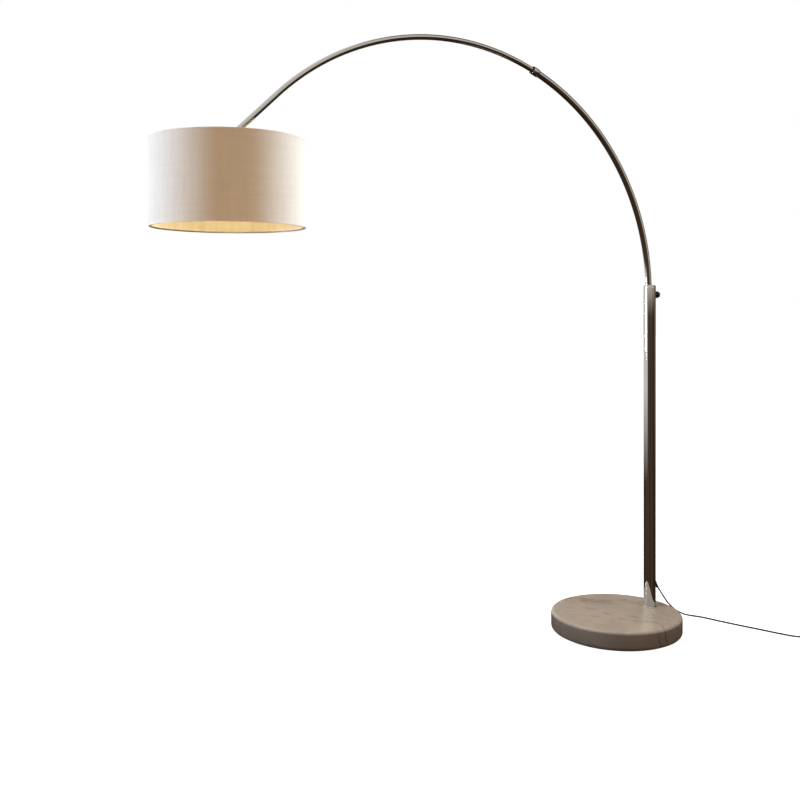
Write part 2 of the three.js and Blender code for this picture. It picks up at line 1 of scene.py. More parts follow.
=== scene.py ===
"""The finished look of an arc floor lamp, built piece by piece round its CAD frame.

Metres, +Z up, in the frame's own axes: the arc lies in the XZ plane and runs from the pole to -X.
"""

import json
import math

import bmesh
import bpy
from mathutils import Matrix, Vector

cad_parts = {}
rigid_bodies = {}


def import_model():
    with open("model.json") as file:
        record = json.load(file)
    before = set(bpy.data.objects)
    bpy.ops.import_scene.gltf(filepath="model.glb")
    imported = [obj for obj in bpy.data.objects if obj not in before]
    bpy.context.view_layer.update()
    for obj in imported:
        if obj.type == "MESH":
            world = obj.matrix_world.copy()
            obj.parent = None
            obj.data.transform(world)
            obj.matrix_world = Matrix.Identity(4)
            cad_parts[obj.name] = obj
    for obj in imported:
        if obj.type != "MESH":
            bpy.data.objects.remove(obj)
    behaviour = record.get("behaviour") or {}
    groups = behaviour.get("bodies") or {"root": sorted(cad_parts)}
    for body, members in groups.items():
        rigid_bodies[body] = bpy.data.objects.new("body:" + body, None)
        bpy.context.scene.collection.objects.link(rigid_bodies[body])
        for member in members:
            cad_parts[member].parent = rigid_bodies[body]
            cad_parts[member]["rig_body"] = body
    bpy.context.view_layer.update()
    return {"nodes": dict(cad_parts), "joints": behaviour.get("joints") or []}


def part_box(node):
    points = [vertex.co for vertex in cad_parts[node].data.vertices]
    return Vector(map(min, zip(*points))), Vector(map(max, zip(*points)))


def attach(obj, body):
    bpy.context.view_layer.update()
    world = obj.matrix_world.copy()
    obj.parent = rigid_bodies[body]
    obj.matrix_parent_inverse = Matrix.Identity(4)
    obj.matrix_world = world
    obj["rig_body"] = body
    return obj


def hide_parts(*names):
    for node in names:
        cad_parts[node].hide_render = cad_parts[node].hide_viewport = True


bl_info = {
    "name": "Arc floor lamp",
    "version": (1, 0, 0),
    "blender": (4, 5, 0),
    "location": "View3D > Sidebar > Arc lamp",
    "description": "Builds the finished pieces of an arc floor lamp round its CAD frame",
    "category": "Add Mesh",
}

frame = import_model()
JOINTS = {joint["name"]: joint for joint in frame["joints"]}

MM = 0.001


def linear(hex_colour):
    """An sRGB hex colour as linear red, green, blue and alpha."""
    channels = [int(hex_colour[i : i + 2], 16) / 255 for i in (1, 3, 5)]
    return (
        *[c / 12.92 if c <= 0.04045 else ((c + 0.055) / 1.055) ** 2.4 for c in channels],
        1.0,
    )


# ---------------------------------------------------------------- places taken from the frame

ARC_CENTRE = Vector(JOINTS["arc_extension"]["pos_m"])
KNUCKLE_PIN = Vector(JOINTS["shade_tilt"]["pos_m"])
ARM_AXIS = Vector((JOINTS["arm_swivel"]["pos_m"][0], 0, 0))
ARC_RADIUS = ARM_AXIS.x - ARC_CENTRE.x
CLAMP_HEIGHT = JOINTS["clamp_turn"]["pos_m"][2]
SWITCH_LOW, SWITCH_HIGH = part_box("switch_cover")
SWITCH_CENTRE = (SWITCH_LOW + SWITCH_HIGH) / 2
SHADE_LOW, SHADE_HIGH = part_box("shade_fabric")
POLE_LOW, POLE_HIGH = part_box("pole_tube")
POLE_AXIS = Vector(((POLE_LOW.x + POLE_HIGH.x) / 2, 0, 0))

# The arm's own angles, in degrees round the arc from where the straight tail ends.
COLLAR_ANGLE = 65.9
COLLAR_BACK = 0.6
UPPER_START = 59.9
STRAIGHT_FROM = 134.0
STRAIGHT_LENGTH = 0.161

# The cord's run, as the CAD frame has it.
GLAND_SLOPE = math.radians(52)
GLAND_ORIGIN = Vector((POLE_HIGH.x, 0, 0.133))
SWITCH_HEADING = math.radians(-45)
SWITCH_CORD_HEIGHT = 0.0046
COIL_CENTRE = Vector((0.560, -0.293, 0))
PLUG_CENTRE = Vector((0.624, -0.214, 0.0068))
PLUG_HEADING = math.radians(60)

# The plug's pins stand this far to each side of its middle.
PIN_REACH = 9.5 * MM

# The camera looks level, turned this many degrees from +Y, and the studio's walls are set by it.
CAMERA_PLACE = Vector((-1.909, -2.503, 1.011))
CAMERA_TURN = math.radians(-25)
CAMERA_LENS = 44.46
CAMERA_SHIFT = -0.1175

# The tubes' outer radii and walls, in millimetres.
POLE_RADIUS, POLE_WALL = 19, 1.6
LOWER_RADIUS, LOWER_WALL = 10, 1.3
UPPER_RADIUS, UPPER_WALL = 8, 1.2
SHADE_RADIUS = 200


# ---------------------------------------------------------------- what a user would change


class LampSizes(bpy.types.PropertyGroup):
    """Sizes that a user of the lamp would change."""

    marble_top_edge: bpy.props.FloatProperty(
        name="Marble top edge",
        description="Radius of the polished edge round the top of the marble",
        default=0.009,
        min=0.001,
        max=0.02,
        unit="LENGTH",
    )
    marble_bottom_edge: bpy.props.FloatProperty(
        name="Marble bottom edge",
        description="Radius of the rounded edge round the underside of the marble",
        default=0.012,
        min=0.001,
        max=0.02,
        unit="LENGTH",
    )
    cord_diameter: bpy.props.FloatProperty(
        name="Cord diameter",
        description="Outer diameter of the mains cord's sheath",
        default=0.005,
        min=0.003,
        max=0.008,
        unit="LENGTH",
    )
    seam_width: bpy.props.FloatProperty(
        name="Shade seam width",
        description="Width of the strip where the shade's ends overlap",
        default=0.022,
        min=0.01,
        max=0.04,
        unit="LENGTH",
    )
    seam_angle: bpy.props.FloatProperty(
        name="Shade seam angle",
        description="Where the shade's seam stands round its axis, from +X",
        default=math.radians(75),
        subtype="ANGLE",
    )
    rim_binding: bpy.props.FloatProperty(
        name="Rim binding height",
        description="Height of the folded strip that binds each rim of the shade",
        default=0.0045,
        min=0.002,
        max=0.012,
        unit="LENGTH",
    )


class LampColours(bpy.types.PropertyGroup):
    """Colours and light that a user of the lamp would change."""

    marble: bpy.props.FloatVectorProperty(
        name="Marble",
        description="Ground colour of the marble",
        default=linear("#DAD0C4"),
        size=4,
        min=0,
        max=1,
        subtype="COLOR",
    )
    vein: bpy.props.FloatVectorProperty(
        name="Vein",
        description="Colour of the marble's veins",
        default=linear("#857B72"),
        size=4,
        min=0,
        max=1,
        subtype="COLOR",
    )
    fabric: bpy.props.FloatVectorProperty(
        name="Shade fabric",
        description="Colour of the woven cotton on the shade",
        default=linear("#F1EBE1"),
        size=4,
        min=0,
        max=1,
        subtype="COLOR",
    )
    black: bpy.props.FloatVectorProperty(
        name="Black fittings",
        description="Colour of the knob, the foot switch, the plug and the cord",
        default=linear("#161616"),
        size=4,
        min=0,
        max=1,
        subtype="COLOR",
    )
    glow: bpy.props.FloatVectorProperty(
        name="Bulb light",
        description="Colour of the bulb's light",
        default=linear("#FFEFCB"),
        size=4,
        min=0,
        max=1,
        subtype="COLOR",
    )
    glow_strength: bpy.props.FloatProperty(
        name="Bulb brightness",
        description="How bright the bulb's globe is",
        default=26.0,
        min=0,
        max=60,
    )


# ---------------------------------------------------------------- modelling by hand, in code


def clear_selection():
    """Leaves edit mode and deselects everything, so that an operator acts on the new piece alone."""
    if bpy.context.object and bpy.context.object.mode != "OBJECT":
        bpy.ops.object.mode_set(mode="OBJECT")
    bpy.ops.object.select_all(action="DESELECT")


def work_on(piece):
    """Makes the piece the only one selected, and active."""
    clear_selection()
    piece.select_set(True)
    bpy.context.view_layer.objects.active = piece


def start_piece(name, mode="EDGE"):
    """Names the primitive just added and opens it in edit mode, all selected."""
    piece = bpy.context.object
    piece.name = piece.data.name = name
    bpy.ops.object.mode_set(mode="EDIT")
    bpy.ops.mesh.select_mode(type=mode)
    bpy.ops.mesh.select_all(action="SELECT")
    return piece


def pick_points(piece, test):
    """Selects the points whose place passes the test, in edit mode."""
    bpy.ops.mesh.select_mode(type="VERT")
    bpy.ops.mesh.select_all(action="DESELECT")
    shape = bmesh.from_edit_mesh(piece.data)
    for point in shape.verts:
        point.select = bool(test(point.co))
    shape.select_flush_mode()
    bmesh.update_edit_mesh(piece.data)


def pick_faces(piece, test):
    """Selects the faces whose middle and normal pass the test, in edit mode."""
    bpy.ops.mesh.select_mode(type="FACE")
    bpy.ops.mesh.select_all(action="DESELECT")
    shape = bmesh.from_edit_mesh(piece.data)
    for face in shape.faces:
        face.select = bool(test(face.calc_center_median(), face.normal))
    shape.select_flush_mode()
    bmesh.update_edit_mesh(piece.data)


def close_shape():
    """Merges doubles and turns the faces outwards, then leaves edit mode."""
    bpy.ops.mesh.select_all(action="SELECT")
    bpy.ops.mesh.remove_doubles(threshold=1e-6)
    bpy.ops.mesh.normals_make_consistent(inside=False)
    bpy.ops.object.mode_set(mode="OBJECT")


def modified(piece, kind, **settings):
    """Adds a modifier with its settings and applies it."""
    work_on(piece)
    bpy.ops.object.modifier_add(type=kind)
    modifier = piece.modifiers[-1]
    for name, value in settings.items():
        setattr(modifier, name, value)
    bpy.ops.object.modifier_apply(modifier=modifier.name)
    return piece


def softened(piece, edge=0.3 * MM, segments=2, angle=32):
    """Rounds the piece's sharp edges, as moulding or deburring leaves them, and smooths the rest."""
    if edge:
        modified(
            piece,
            "BEVEL",
            width=edge,
            segments=segments,
            limit_method="ANGLE",
            angle_limit=math.radians(angle),
        )
    work_on(piece)
    bpy.ops.object.shade_smooth_by_angle(angle=math.radians(angle))
    return piece


def put(piece, place):
    """Moves a piece built about the origin to its place, and leaves its object at the origin."""
    work_on(piece)
    bpy.ops.object.transform_apply(location=True, rotation=True, scale=True)
    piece.matrix_world = place
    bpy.ops.object.transform_apply(location=True, rotation=True, scale=True)
    return piece


def turned(name, rings, sides=96, closed=False, edge=0.3 * MM, place=Matrix()):
    """A piece turned about Z: each ring of (radius, height), in mm, is extruded from the last.

    A radius of 0 at either end closes the piece on its axis, and closed joins both end rings."""
    clear_selection()
    open_rings = [(r * MM, z * MM) for r, z in rings if r > 0]
    radius, height = first_radius, first_height = open_rings[0]
    bpy.ops.mesh.primitive_circle_add(vertices=sides, radius=radius, location=(0, 0, height))
    piece = start_piece(name)
    for next_radius, next_height in open_rings[1:]:
        bpy.ops.mesh.extrude_region_move(
            TRANSFORM_OT_translate={"value": (0, 0, next_height - height)}
        )
        share = next_radius / radius
        bpy.ops.transform.resize(
            value=(share, share, 1), center_override=(0, 0, next_height)
        )
        radius, height = next_radius, next_height
    if rings[-1][0] == 0:
        end_on_axis(rings[-1][1] * MM - height)
    if closed or rings[0][0] == 0:

        def on_ring(co, r, z):
            return abs(co.xy.length - r) < 1e-6 and abs(co.z + first_height - z) < 1e-6

        if closed:
            last = (radius, height)
            pick_points(
                piece,
                lambda co: on_ring(co, first_radius, first_height) or on_ring(co, *last),
            )
            bpy.ops.mesh.bridge_edge_loops()
        else:
            pick_points(piece, lambda co: on_ring(co, first_radius, first_height))
            bpy.ops.mesh.select_mode(type="EDGE")
            end_on_axis(rings[0][1] * MM - first_height)
    close_shape()
    return put(softened(piece, edge), place)


def end_on_axis(rise):
    """Extrudes the selected ring by a rise and gathers it to one point on its axis."""
    bpy.ops.mesh.extrude_region_move(TRANSFORM_OT_translate={"value": (0, 0, rise)})
    bpy.ops.mesh.merge(type="CENTER")


def combined(piece, other, how):
    """Unites the other shape with the piece, or cuts it away, and removes it."""
    modified(piece, "BOOLEAN", object=other, operation=how, solver="EXACT")
    bpy.data.objects.remove(other)
    return piece


def refined(name, node, edge):
    """A copy of a CAD solid, its flats made whole and its edges rounded."""
    clear_selection()
    piece = bpy.data.objects.new(name, frame["nodes"][node].data.copy())
    bpy.context.scene.collection.objects.link(piece)
    work_on(piece)
    bpy.ops.object.mode_set(mode="EDIT")
    bpy.ops.mesh.select_all(action="SELECT")
    bpy.ops.mesh.remove_doubles(threshold=1e-6)
    bpy.ops.mesh.dissolve_limited(angle_limit=math.radians(0.5))
    bpy.ops.mesh.select_all(action="SELECT")
    bpy.ops.object.mode_set(mode="OBJECT")
    return softened(piece, edge)


def ribbed(start, end, from_radius, to_radius, ribs, depth):
    """Rings of a tapered sleeve with grooves moulded round it."""
    rings = []
    for i in range(ribs):
        for share, inset in ((0.05, 0), (0.55, 0), (0.65, depth), (0.95, depth)):
            t = (i + share) / ribs
            rings.append(
                (from_radius + (to_radius - from_radius) * t - inset, start + (end - start) * t)
            )
    return rings


def stands_for(piece, slot, *nodes):
    """Gives the piece its slot's material, and lets it ride for the CAD nodes that it stands for."""
    piece.data.materials.clear()
    piece.data.materials.append(FINISHES[slot])
    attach(piece, frame["nodes"][nodes[0]]["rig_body"])
    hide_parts(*nodes)
    return piece


ALONG_X = Matrix.Rotation(math.radians(90), 4, "Y")


def on_arc(angle):
    """The frame on the arm at an angle: origin on its axis, and Z along it away from the pole."""
    a = math.radians(angle)
    place = ARC_CENTRE + ARC_RADIUS * Vector((math.cos(a), 0, math.sin(a)))
    return Matrix.Translation(place) @ Matrix.Rotation(-a, 4, "Y")


POLE_PLACE = Matrix.Translation(POLE_AXIS)
CLAMP_PLACE = Matrix.Translation((POLE_AXIS.x, 0, CLAMP_HEIGHT)) @ ALONG_X
GLAND_PLACE = Matrix.Translation(GLAND_ORIGIN) @ Matrix.Rotation(
    math.radians(90) + GLAND_SLOPE, 4, "Y"
)
COLLAR_PLACE = on_arc(COLLAR_ANGLE - COLLAR_BACK) @ Matrix.Translation(
    (0, 0, math.radians(COLLAR_BACK) * ARC_RADIUS)
)
HEAD_PLACE = Matrix.Translation(KNUCKLE_PIN)
SWITCH_PLACE = Matrix.Translation((SWITCH_CENTRE.x, SWITCH_CENTRE.y, 0)) @ Matrix.Rotation(
    SWITCH_HEADING, 4, "Z"
)
PLUG_PLACE = Matrix.Translation((PLUG_CENTRE.x, PLUG_CENTRE.y, 0)) @ Matrix.Rotation(
    PLUG_HEADING, 4, "Z"
)


# ---------------------------------------------------------------- materials


def add_node(tree, kind, output, inputs=None, **settings):
    """Adds a shader node with its settings, links or fills its inputs, and gives an output."""
    made = tree.nodes.new("ShaderNode" + kind)
    for name, value in settings.items():
        setattr(made, name, value)
    for socket, value in (inputs or {}).items():
        if isinstance(value, bpy.types.NodeSocket):
            tree.links.new(value, made.inputs[socket])
        else:
            made.inputs[socket].default_value = value
    return made.outputs[output]


# The sockets of a colour Mix node and of a MapRange node, by number.
SHARE, FIRST, SECOND, MIXED = 0, 6, 7, 2
VALUE, LOW, HIGH, START, END = 0, 1, 2, 3, 4


def new_material(name, colour, roughness, metallic=0.0, ior=1.5, **more):
    """A material with its Principled shader set, and its object coordinates in metres."""
    material = bpy.data.materials.new(name)
    material.use_nodes = True
    tree = material.node_tree
    shader = tree.nodes["Principled BSDF"]
    values = {"Base Color": colour, "Roughness": roughness, "Metallic": metallic, "IOR": ior}
    for socket, value in {**values, **more}.items():
        shader.inputs[socket].default_value = value
    place = add_node(tree, "TexCoord", "Object")
    return material, tree, shader, place


def polished_marble(ground, vein):
    """Marble, sawn, ground and polished: a pale crystalline stone with soft drifting veins under a
    glassy surface."""
    material, tree, shader, place = new_material("polished_marble", ground, 0.13, ior=1.49)
    shader.inputs["Coat Weight"].default_value = 0.2
    shader.inputs["Coat Roughness"].default_value = 0.2
    # Warped by drifts about 140 mm long and wriggles of 35 mm, as the stone was folded while soft.
    warped = place
    for size, reach in ((0.14, 0.07), (0.035, 0.020)):
        drift = add_node(
            tree, "TexNoise", "Color", {"Vector": place, "Scale": 1 / size, "Detail": 3.0}
        )
        centred = add_node(
            tree, "VectorMath", "Vector", {0: drift, 1: (0.5, 0.5, 0.5)}, operation="SUBTRACT"
        )
        shift = add_node(
            tree, "VectorMath", "Vector", {0: centred, "Scale": reach}, operation="SCALE"
        )
        warped = add_node(tree, "VectorMath", "Vector", {0: warped, 1: shift}, operation="ADD")
    # Broad grey clouds about 90 mm across, which give the polished face its depth.
    clouds = add_node(tree, "TexNoise", "Fac", {"Vector": warped, "Scale": 1 / 0.09, "Detail": 5.0})
    cloud = add_node(tree, "MapRange", 0, {VALUE: clouds, LOW: 0.4, HIGH: 0.7, END: 0.3})
    colour = add_node(
        tree, "Mix", MIXED, {SHARE: cloud, FIRST: ground, SECOND: vein}, data_type="RGBA"
    )
    # Each vein is a sheet through the stone: its direction, its distance from the base's centre,
    # its half width, and how strong it is where it shows most.
    sheets = (
        ((0.64, 0.77, 0.05), 0.108, 0.030, 0.90),
        ((0.60, 0.80, 0.10), 0.130, 0.010, 0.55),
        ((0.66, 0.75, -0.10), -0.080, 0.0035, 1.30),
        ((0.75, 0.66, 0.10), -0.020, 0.0035, 0.70),
        ((0.30, 0.95, 0.10), 0.045, 0.0030, 0.60),
        ((0.98, 0.20, 0.20), -0.032, 0.0060, 0.80),
        ((0.90, -0.40, 0.15), 0.120, 0.0040, 0.80),
    )
    breaks = add_node(tree, "TexNoise", "Fac", {"Vector": place, "Scale": 1 / 0.05, "Detail": 4.0})
    for direction, distance, half_width, strength in sheets:
        depth = add_node(
            tree, "VectorMath", "Value", {0: warped, 1: direction}, operation="DOT_PRODUCT"
        )
        offset = add_node(tree, "Math", 0, {0: depth, 1: distance}, operation="SUBTRACT")
        away = add_node(tree, "Math", 0, {0: offset}, operation="ABSOLUTE")
        line = add_node(tree, "MapRange", 0, {VALUE: away, LOW: half_width, HIGH: 0.0})
        shows = add_node(
            tree, "MapRange", 0, {VALUE: breaks, LOW: 0.42, HIGH: 0.62, START: 0.08, END: strength}
        )
        seen = add_node(tree, "Math", 0, {0: line, 1: shows}, operation="MULTIPLY")
        colour = add_node(
            tree, "Mix", MIXED, {SHARE: seen, FIRST: colour, SECOND: vein}, data_type="RGBA"
        )
    # Sugar grain of the calcite crystals: 1 mm in the stone, drawn at 3 mm so that it shows.
    crystals = add_node(tree, "TexNoise", "Fac", {"Vector": place, "Scale": 1 / 0.003})
    grain = add_node(tree, "MapRange", 0, {VALUE: crystals, LOW: 0.35, HIGH: 0.75, END: 0.14})
    stone = add_node(
        tree, "Mix", MIXED, {SHARE: grain, FIRST: colour, SECOND: vein}, data_type="RGBA"
    )
    tree.links.new(stone, shader.inputs["Base Color"])
    # Veins take the polish a little less than the ground.
    polish = add_node(tree, "MapRange", 0, {VALUE: cloud, HIGH: 0.3, START: 0.2, END: 0.3})
    tree.links.new(polish, shader.inputs["Roughness"])
    ripple = add_node(tree, "TexNoise", "Fac", {"Vector": place, "Scale": 1 / 0.02, "Detail": 3.0})
    bump = add_node(
        tree, "Bump", "Normal", {"Height": ripple, "Distance": 0.00006, "Strength": 0.5}
    )
    tree.links.new(bump, shader.inputs["Normal"])
    return material


def chrome_plate():
    """Steel tube, ground, buffed and chromium plated: a mirror with the faint lengthwise waver that
    buffing leaves, and a little haze where hands have been."""
    material, tree, shader, place = new_material(
        "chrome_plated_steel", linear("#C6C5C3"), 0.06, metallic=1.0
    )
    haze = add_node(tree, "TexNoise", "Fac", {"Vector": place, "Scale": 1 / 0.06, "Detail": 3.0})
    hazy = add_node(
        tree, "MapRange", 0, {VALUE: haze, LOW: 0.35, HIGH: 0.75, START: 0.02, END: 0.06}
    )
    tree.links.new(hazy, shader.inputs["Roughness"])
    # Buffing marks 0.4 mm apart, drawn at 2 mm.
    drawn_out = add_node(tree, "Mapping", "Vector", {"Vector": place, "Scale": (1, 1, 0.04)})
    lines = add_node(tree, "TexNoise", "Fac", {"Vector": drawn_out, "Scale": 1 / 0.002})
    bump = add_node(
        tree, "Bump", "Normal", {"Height": lines, "Distance": 0.00001, "Strength": 0.15}
    )
    tree.links.new(bump, shader.inputs["Normal"])
    return material


def zinc_plate():
    """Steel hardware, cold formed and zinc plated: grey with a faint straw passivation and a
    crystalline bloom."""
    grey, straw = linear("#ABAAA4"), linear("#B9AE8C")
    material, tree, shader, place = new_material("zinc_plated_steel", grey, 0.38, metallic=1.0)
    bloom = add_node(tree, "TexNoise", "Fac", {"Vector": place, "Scale": 1 / 0.004, "Detail": 3.0})
    patch = add_node(tree, "MapRange", 0, {VALUE: bloom, LOW: 0.35, HIGH: 0.7})
    tone = add_node(
        tree, "Mix", MIXED, {SHARE: patch, FIRST: grey, SECOND: straw}, data_type="RGBA"
    )
    tree.links.new(tone, shader.inputs["Base Color"])
    gloss = add_node(tree, "MapRange", 0, {VALUE: patch, START: 0.3, END: 0.46})
    tree.links.new(gloss, shader.inputs["Roughness"])
    spangle = add_node(tree, "TexNoise", "Fac", {"Vector": place, "Scale": 1 / 0.0015})
    bump = add_node(
        tree, "Bump", "Normal", {"Height": spangle, "Distance": 0.00002, "Strength": 0.5}
    )
    tree.links.new(bump, shader.inputs["Normal"])
    return material


def drawn_brass():
    """Brass, drawn and turned: a warm yellow metal that dulls to brown in patches."""
    bright, brown = linear("#C8A45C"), linear("#8F6B33")
    material, tree, shader, place = new_material("drawn_brass", bright, 0.28, metallic=1.0)
    patches = add_node(
        tree, "TexNoise", "Fac", {"Vector": place, "Scale": 1 / 0.006, "Detail": 4.0}
    )
    tarnish = add_node(tree, "MapRange", 0, {VALUE: patches, LOW: 0.45, HIGH: 0.75})
    tone = add_node(
        tree, "Mix", MIXED, {SHARE: tarnish, FIRST: bright, SECOND: brown}, data_type="RGBA"
    )
    tree.links.new(tone, shader.inputs["Base Color"])
    gloss = add_node(tree, "MapRange", 0, {VALUE: tarnish, START: 0.22, END: 0.42})
    tree.links.new(gloss, shader.inputs["Roughness"])
    return material


def nickel_plate():
    """Brass pins, nickel plated: a warm bright grey with fine scuffs along each pin."""
    material, tree, shader, place = new_material(
        "nickel_plated_brass", linear("#B7AFA2"), 0.22, metallic=1.0
    )
    drawn_out = add_node(tree, "Mapping", "Vector", {"Vector": place, "Scale": (1, 0.3, 1)})
    scuffs = add_node(
        tree, "TexNoise", "Fac", {"Vector": drawn_out, "Scale": 1 / 0.0012, "Detail": 3.0}
    )
    gloss = add_node(
        tree, "MapRange", 0, {VALUE: scuffs, LOW: 0.35, HIGH: 0.7, START: 0.16, END: 0.36}
    )
    tree.links.new(gloss, shader.inputs["Roughness"])
    bump = add_node(
        tree, "Bump", "Normal", {"Height": scuffs, "Distance": 0.00001, "Strength": 0.4}
    )
    tree.links.new(bump, shader.inputs["Normal"])
    return material


def woven_cotton(colour):
    """Plain-woven cotton on the piece's own UV map, in metres along and up the cloth: threads cross
    in rows, some a little thicker, with painted shade in the gaps between them; light from the lit
    bulb shows through, and a painted glow stands in for more of its warmth."""
    material, tree, shader, place = new_material("woven_cotton", colour, 0.88, ior=1.45)
    shader.inputs["Sheen Weight"].default_value = 0.12
    shader.inputs["Sheen Roughness"].default_value = 0.5
    # Painted glow: a warm emission stands in for the bulb's light coming through the cloth.
    shader.inputs["Emission Color"].default_value = linear("#7B6753")
    shader.inputs["Emission Strength"].default_value = 1.0
    cloth = add_node(tree, "UVMap", "UV", uv_map="cloth")
    # Threads 0.5 mm apart, drawn at 1.6 mm; a band wave repeats 20 times in a unit of its scale.
    thread = 0.0016
    rows = [
        add_node(
            tree,
            "TexWave",
            "Fac",
            {"Vector": cloth, "Scale": 1 / (thread * 20), "Distortion": 0.6, "Detail": 1.0},
            wave_type="BANDS",
            bands_direction=direction,
        )
        for direction in ("X", "Y")
    ]
    weave = add_node(tree, "Math", 0, {0: rows[0], 1: rows[1]}, operation="MULTIPLY")
    # Slubs: thicker lengths of thread, about 10 mm apart and 160 mm long, up and along the cloth.
    thick = []
    for stretch in ((1, 0.06, 1), (0.06, 1, 1)):
        along_thread = add_node(tree, "Mapping", "Vector", {"Vector": cloth, "Scale": stretch})
        thick.append(
            add_node(
                tree, "TexNoise", "Fac", {"Vector": along_thread, "Scale": 1 / 0.01, "Detail": 3.0}
            )
        )
    slub = add_node(tree, "Math", 0, {0: thick[0], 1: thick[1]}, operation="ADD")
    # A darker tone: it marks the thicker slub lengths, and it is also painted shade in the gaps
    # between threads.
    slub_tone_and_gap_shade = tuple(c * 0.93 for c in colour[:3]) + (1.0,)
    uneven = add_node(tree, "MapRange", 0, {VALUE: slub, LOW: 0.75, HIGH: 1.3})
    tone = add_node(
        tree, "Mix", MIXED, {SHARE: uneven, FIRST: colour, SECOND: slub_tone_and_gap_shade}, data_type="RGBA"
    )
    # Painted shade: the gaps between the threads are darkened.
    painted_gap_shade = add_node(tree, "MapRange", 0, {VALUE: weave, START: 0.22, END: 0.0})
    tone = add_node(tree, "Mix", MIXED, {SHARE: painted_gap_shade, FIRST: tone, SECOND: slub_tone_and_gap_shade}, data_type="RGBA")
    tree.links.new(tone, shader.inputs["Base Color"])
    swell = add_node(tree, "MapRange", 0, {VALUE: slub, LOW: 0.7, HIGH: 1.3, END: 0.8})
    height = add_node(tree, "Math", 0, {0: weave, 1: swell}, operation="ADD")
    bump = add_node(
        tree, "Bump", "Normal", {"Height": height, "Distance": 0.00012, "Strength": 0.6}
    )
    tree.links.new(bump, shader.inputs["Normal"])
    let_through(tree, shader, tone, 0.3)
    return material


def let_through(tree, shader, tone, share):
    """Lets a share of the light from behind through the sheet."""
    through = add_node(tree, "BsdfTranslucent", 0, {"Color": tone})
    sheet = add_node(tree, "MixShader", 0, {0: share, 1: shader.outputs[0], 2: through})
    tree.links.new(sheet, tree.nodes["Material Output"].inputs["Surface"])


def styrene_lining():
    """Self-adhesive styrene sheet inside the shade, calendered: a matt ivory film with faint vertical
    flow lines, and a painted glow that stands in for the bulb's light on it."""
    ivory, cream = linear("#F5EBD2"), linear("#EADCBD")
    material, tree, shader, place = new_material("styrene_lining", ivory, 0.55, ior=1.55)
    # Painted glow: a warm emission stands in for the bulb's light falling on the lining.
    shader.inputs["Emission Color"].default_value = linear("#6B6650")
    shader.inputs["Emission Strength"].default_value = 1.0
    drawn_out = add_node(tree, "Mapping", "Vector", {"Vector": place, "Scale": (1, 1, 0.05)})
    flow = add_node(tree, "TexNoise", "Fac", {"Vector": drawn_out, "Scale": 1 / 0.012})
    streaks = add_node(tree, "MapRange", 0, {VALUE: flow, LOW: 0.3, HIGH: 0.75})
    tone = add_node(
        tree, "Mix", MIXED, {SHARE: streaks, FIRST: ivory, SECOND: cream}, data_type="RGBA"
    )
    tree.links.new(tone, shader.inputs["Base Color"])
    bump = add_node(tree, "Bump", "Normal", {"Height": flow, "Distance": 0.00005, "Strength": 0.4})
    tree.links.new(bump, shader.inputs["Normal"])
    let_through(tree, shader, tone, 0.4)
    return material


def moulded(name, colour, roughness, grain, ior=1.5):
    """Moulded plastic or rubber: an even colour, a fine spark-eroded grain, and gloss that varies
    where it is handled."""
    material, tree, shader, place = new_material(name, colour, roughness, ior=ior)
    worn = tuple(min(1.0, c * 1.5 + 0.012) for c in colour[:3]) + (1.0,)
    wear = add_node(tree, "TexNoise", "Fac", {"Vector": place, "Scale": 1 / 0.012, "Detail": 3.0})
    rubbed = add_node(tree, "MapRange", 0, {VALUE: wear, LOW: 0.5, HIGH: 0.8, END: 0.5})
    tone = add_node(
        tree, "Mix", MIXED, {SHARE: rubbed, FIRST: colour, SECOND: worn}, data_type="RGBA"
    )
    tree.links.new(tone, shader.inputs["Base Color"])
    least, most = roughness * 0.8, min(1.0, roughness * 1.25)
    gloss = add_node(
        tree, "MapRange", 0, {VALUE: wear, LOW: 0.3, HIGH: 0.7, START: least, END: most}
    )
    tree.links.new(gloss, shader.inputs["Roughness"])
    pores = add_node(tree, "TexNoise", "Fac", {"Vector": place, "Scale": 1 / grain})
    bump = add_node(
        tree, "Bump", "Normal", {"Height": pores, "Distance": grain * 0.06, "Strength": 0.5}
    )
    tree.links.new(bump, shader.inputs["Normal"])
    return material


def glazed_porcelain():
    """Porcelain, pressed and glazed: a cool white body under a clear glaze with an orange-peel
    ripple."""
    white, shaded = linear("#F1EFE9"), linear("#E2DDD0")
    material, tree, shader, place = new_material(
        "glazed_porcelain", white, 0.16, ior=1.52, **{"Coat Weight": 0.5}
    )
    clay = add_node(tree, "TexNoise", "Fac", {"Vector": place, "Scale": 1 / 0.008, "Detail": 3.0})
    body = add_node(tree, "MapRange", 0, {VALUE: clay, LOW: 0.4, HIGH: 0.7})
    tone = add_node(
        tree, "Mix", MIXED, {SHARE: body, FIRST: white, SECOND: shaded}, data_type="RGBA"
    )
    tree.links.new(tone, shader.inputs["Base Color"])
    ripple = add_node(tree, "TexNoise", "Fac", {"Vector": place, "Scale": 1 / 0.003})
    bump = add_node(
        tree, "Bump", "Normal", {"Height": ripple, "Distance": 0.00005, "Strength": 0.4}
    )
    tree.links.new(bump, shader.inputs["Normal"])
    return material


def opal_glass(glow, strength):
    """Bulb globe, blown and coated opal inside: milky white, glossy, and evenly lit."""
    milk, cream, warm = linear("#FFF4E2"), linear("#F6E7CE"), linear("#FFEBCB")
    material, tree, shader, place = new_material("opal_glass", milk, 0.22, ior=1.52)
    shader.inputs["Emission Strength"].default_value = strength
    cloud = add_node(tree, "TexNoise", "Fac", {"Vector": place, "Scale": 1 / 0.02})
    thin = add_node(tree, "MapRange", 0, {VALUE: cloud, LOW: 0.3, HIGH: 0.7, END: 0.12})
    for socket, share, first, second in (
        ("Emission Color", thin, glow, warm),
        ("Base Color", cloud, milk, cream),
    ):
        tone = add_node(
            tree, "Mix", MIXED, {SHARE: share, FIRST: first, SECOND: second}, data_type="RGBA"
        )
        tree.links.new(tone, shader.inputs[socket])
    return material


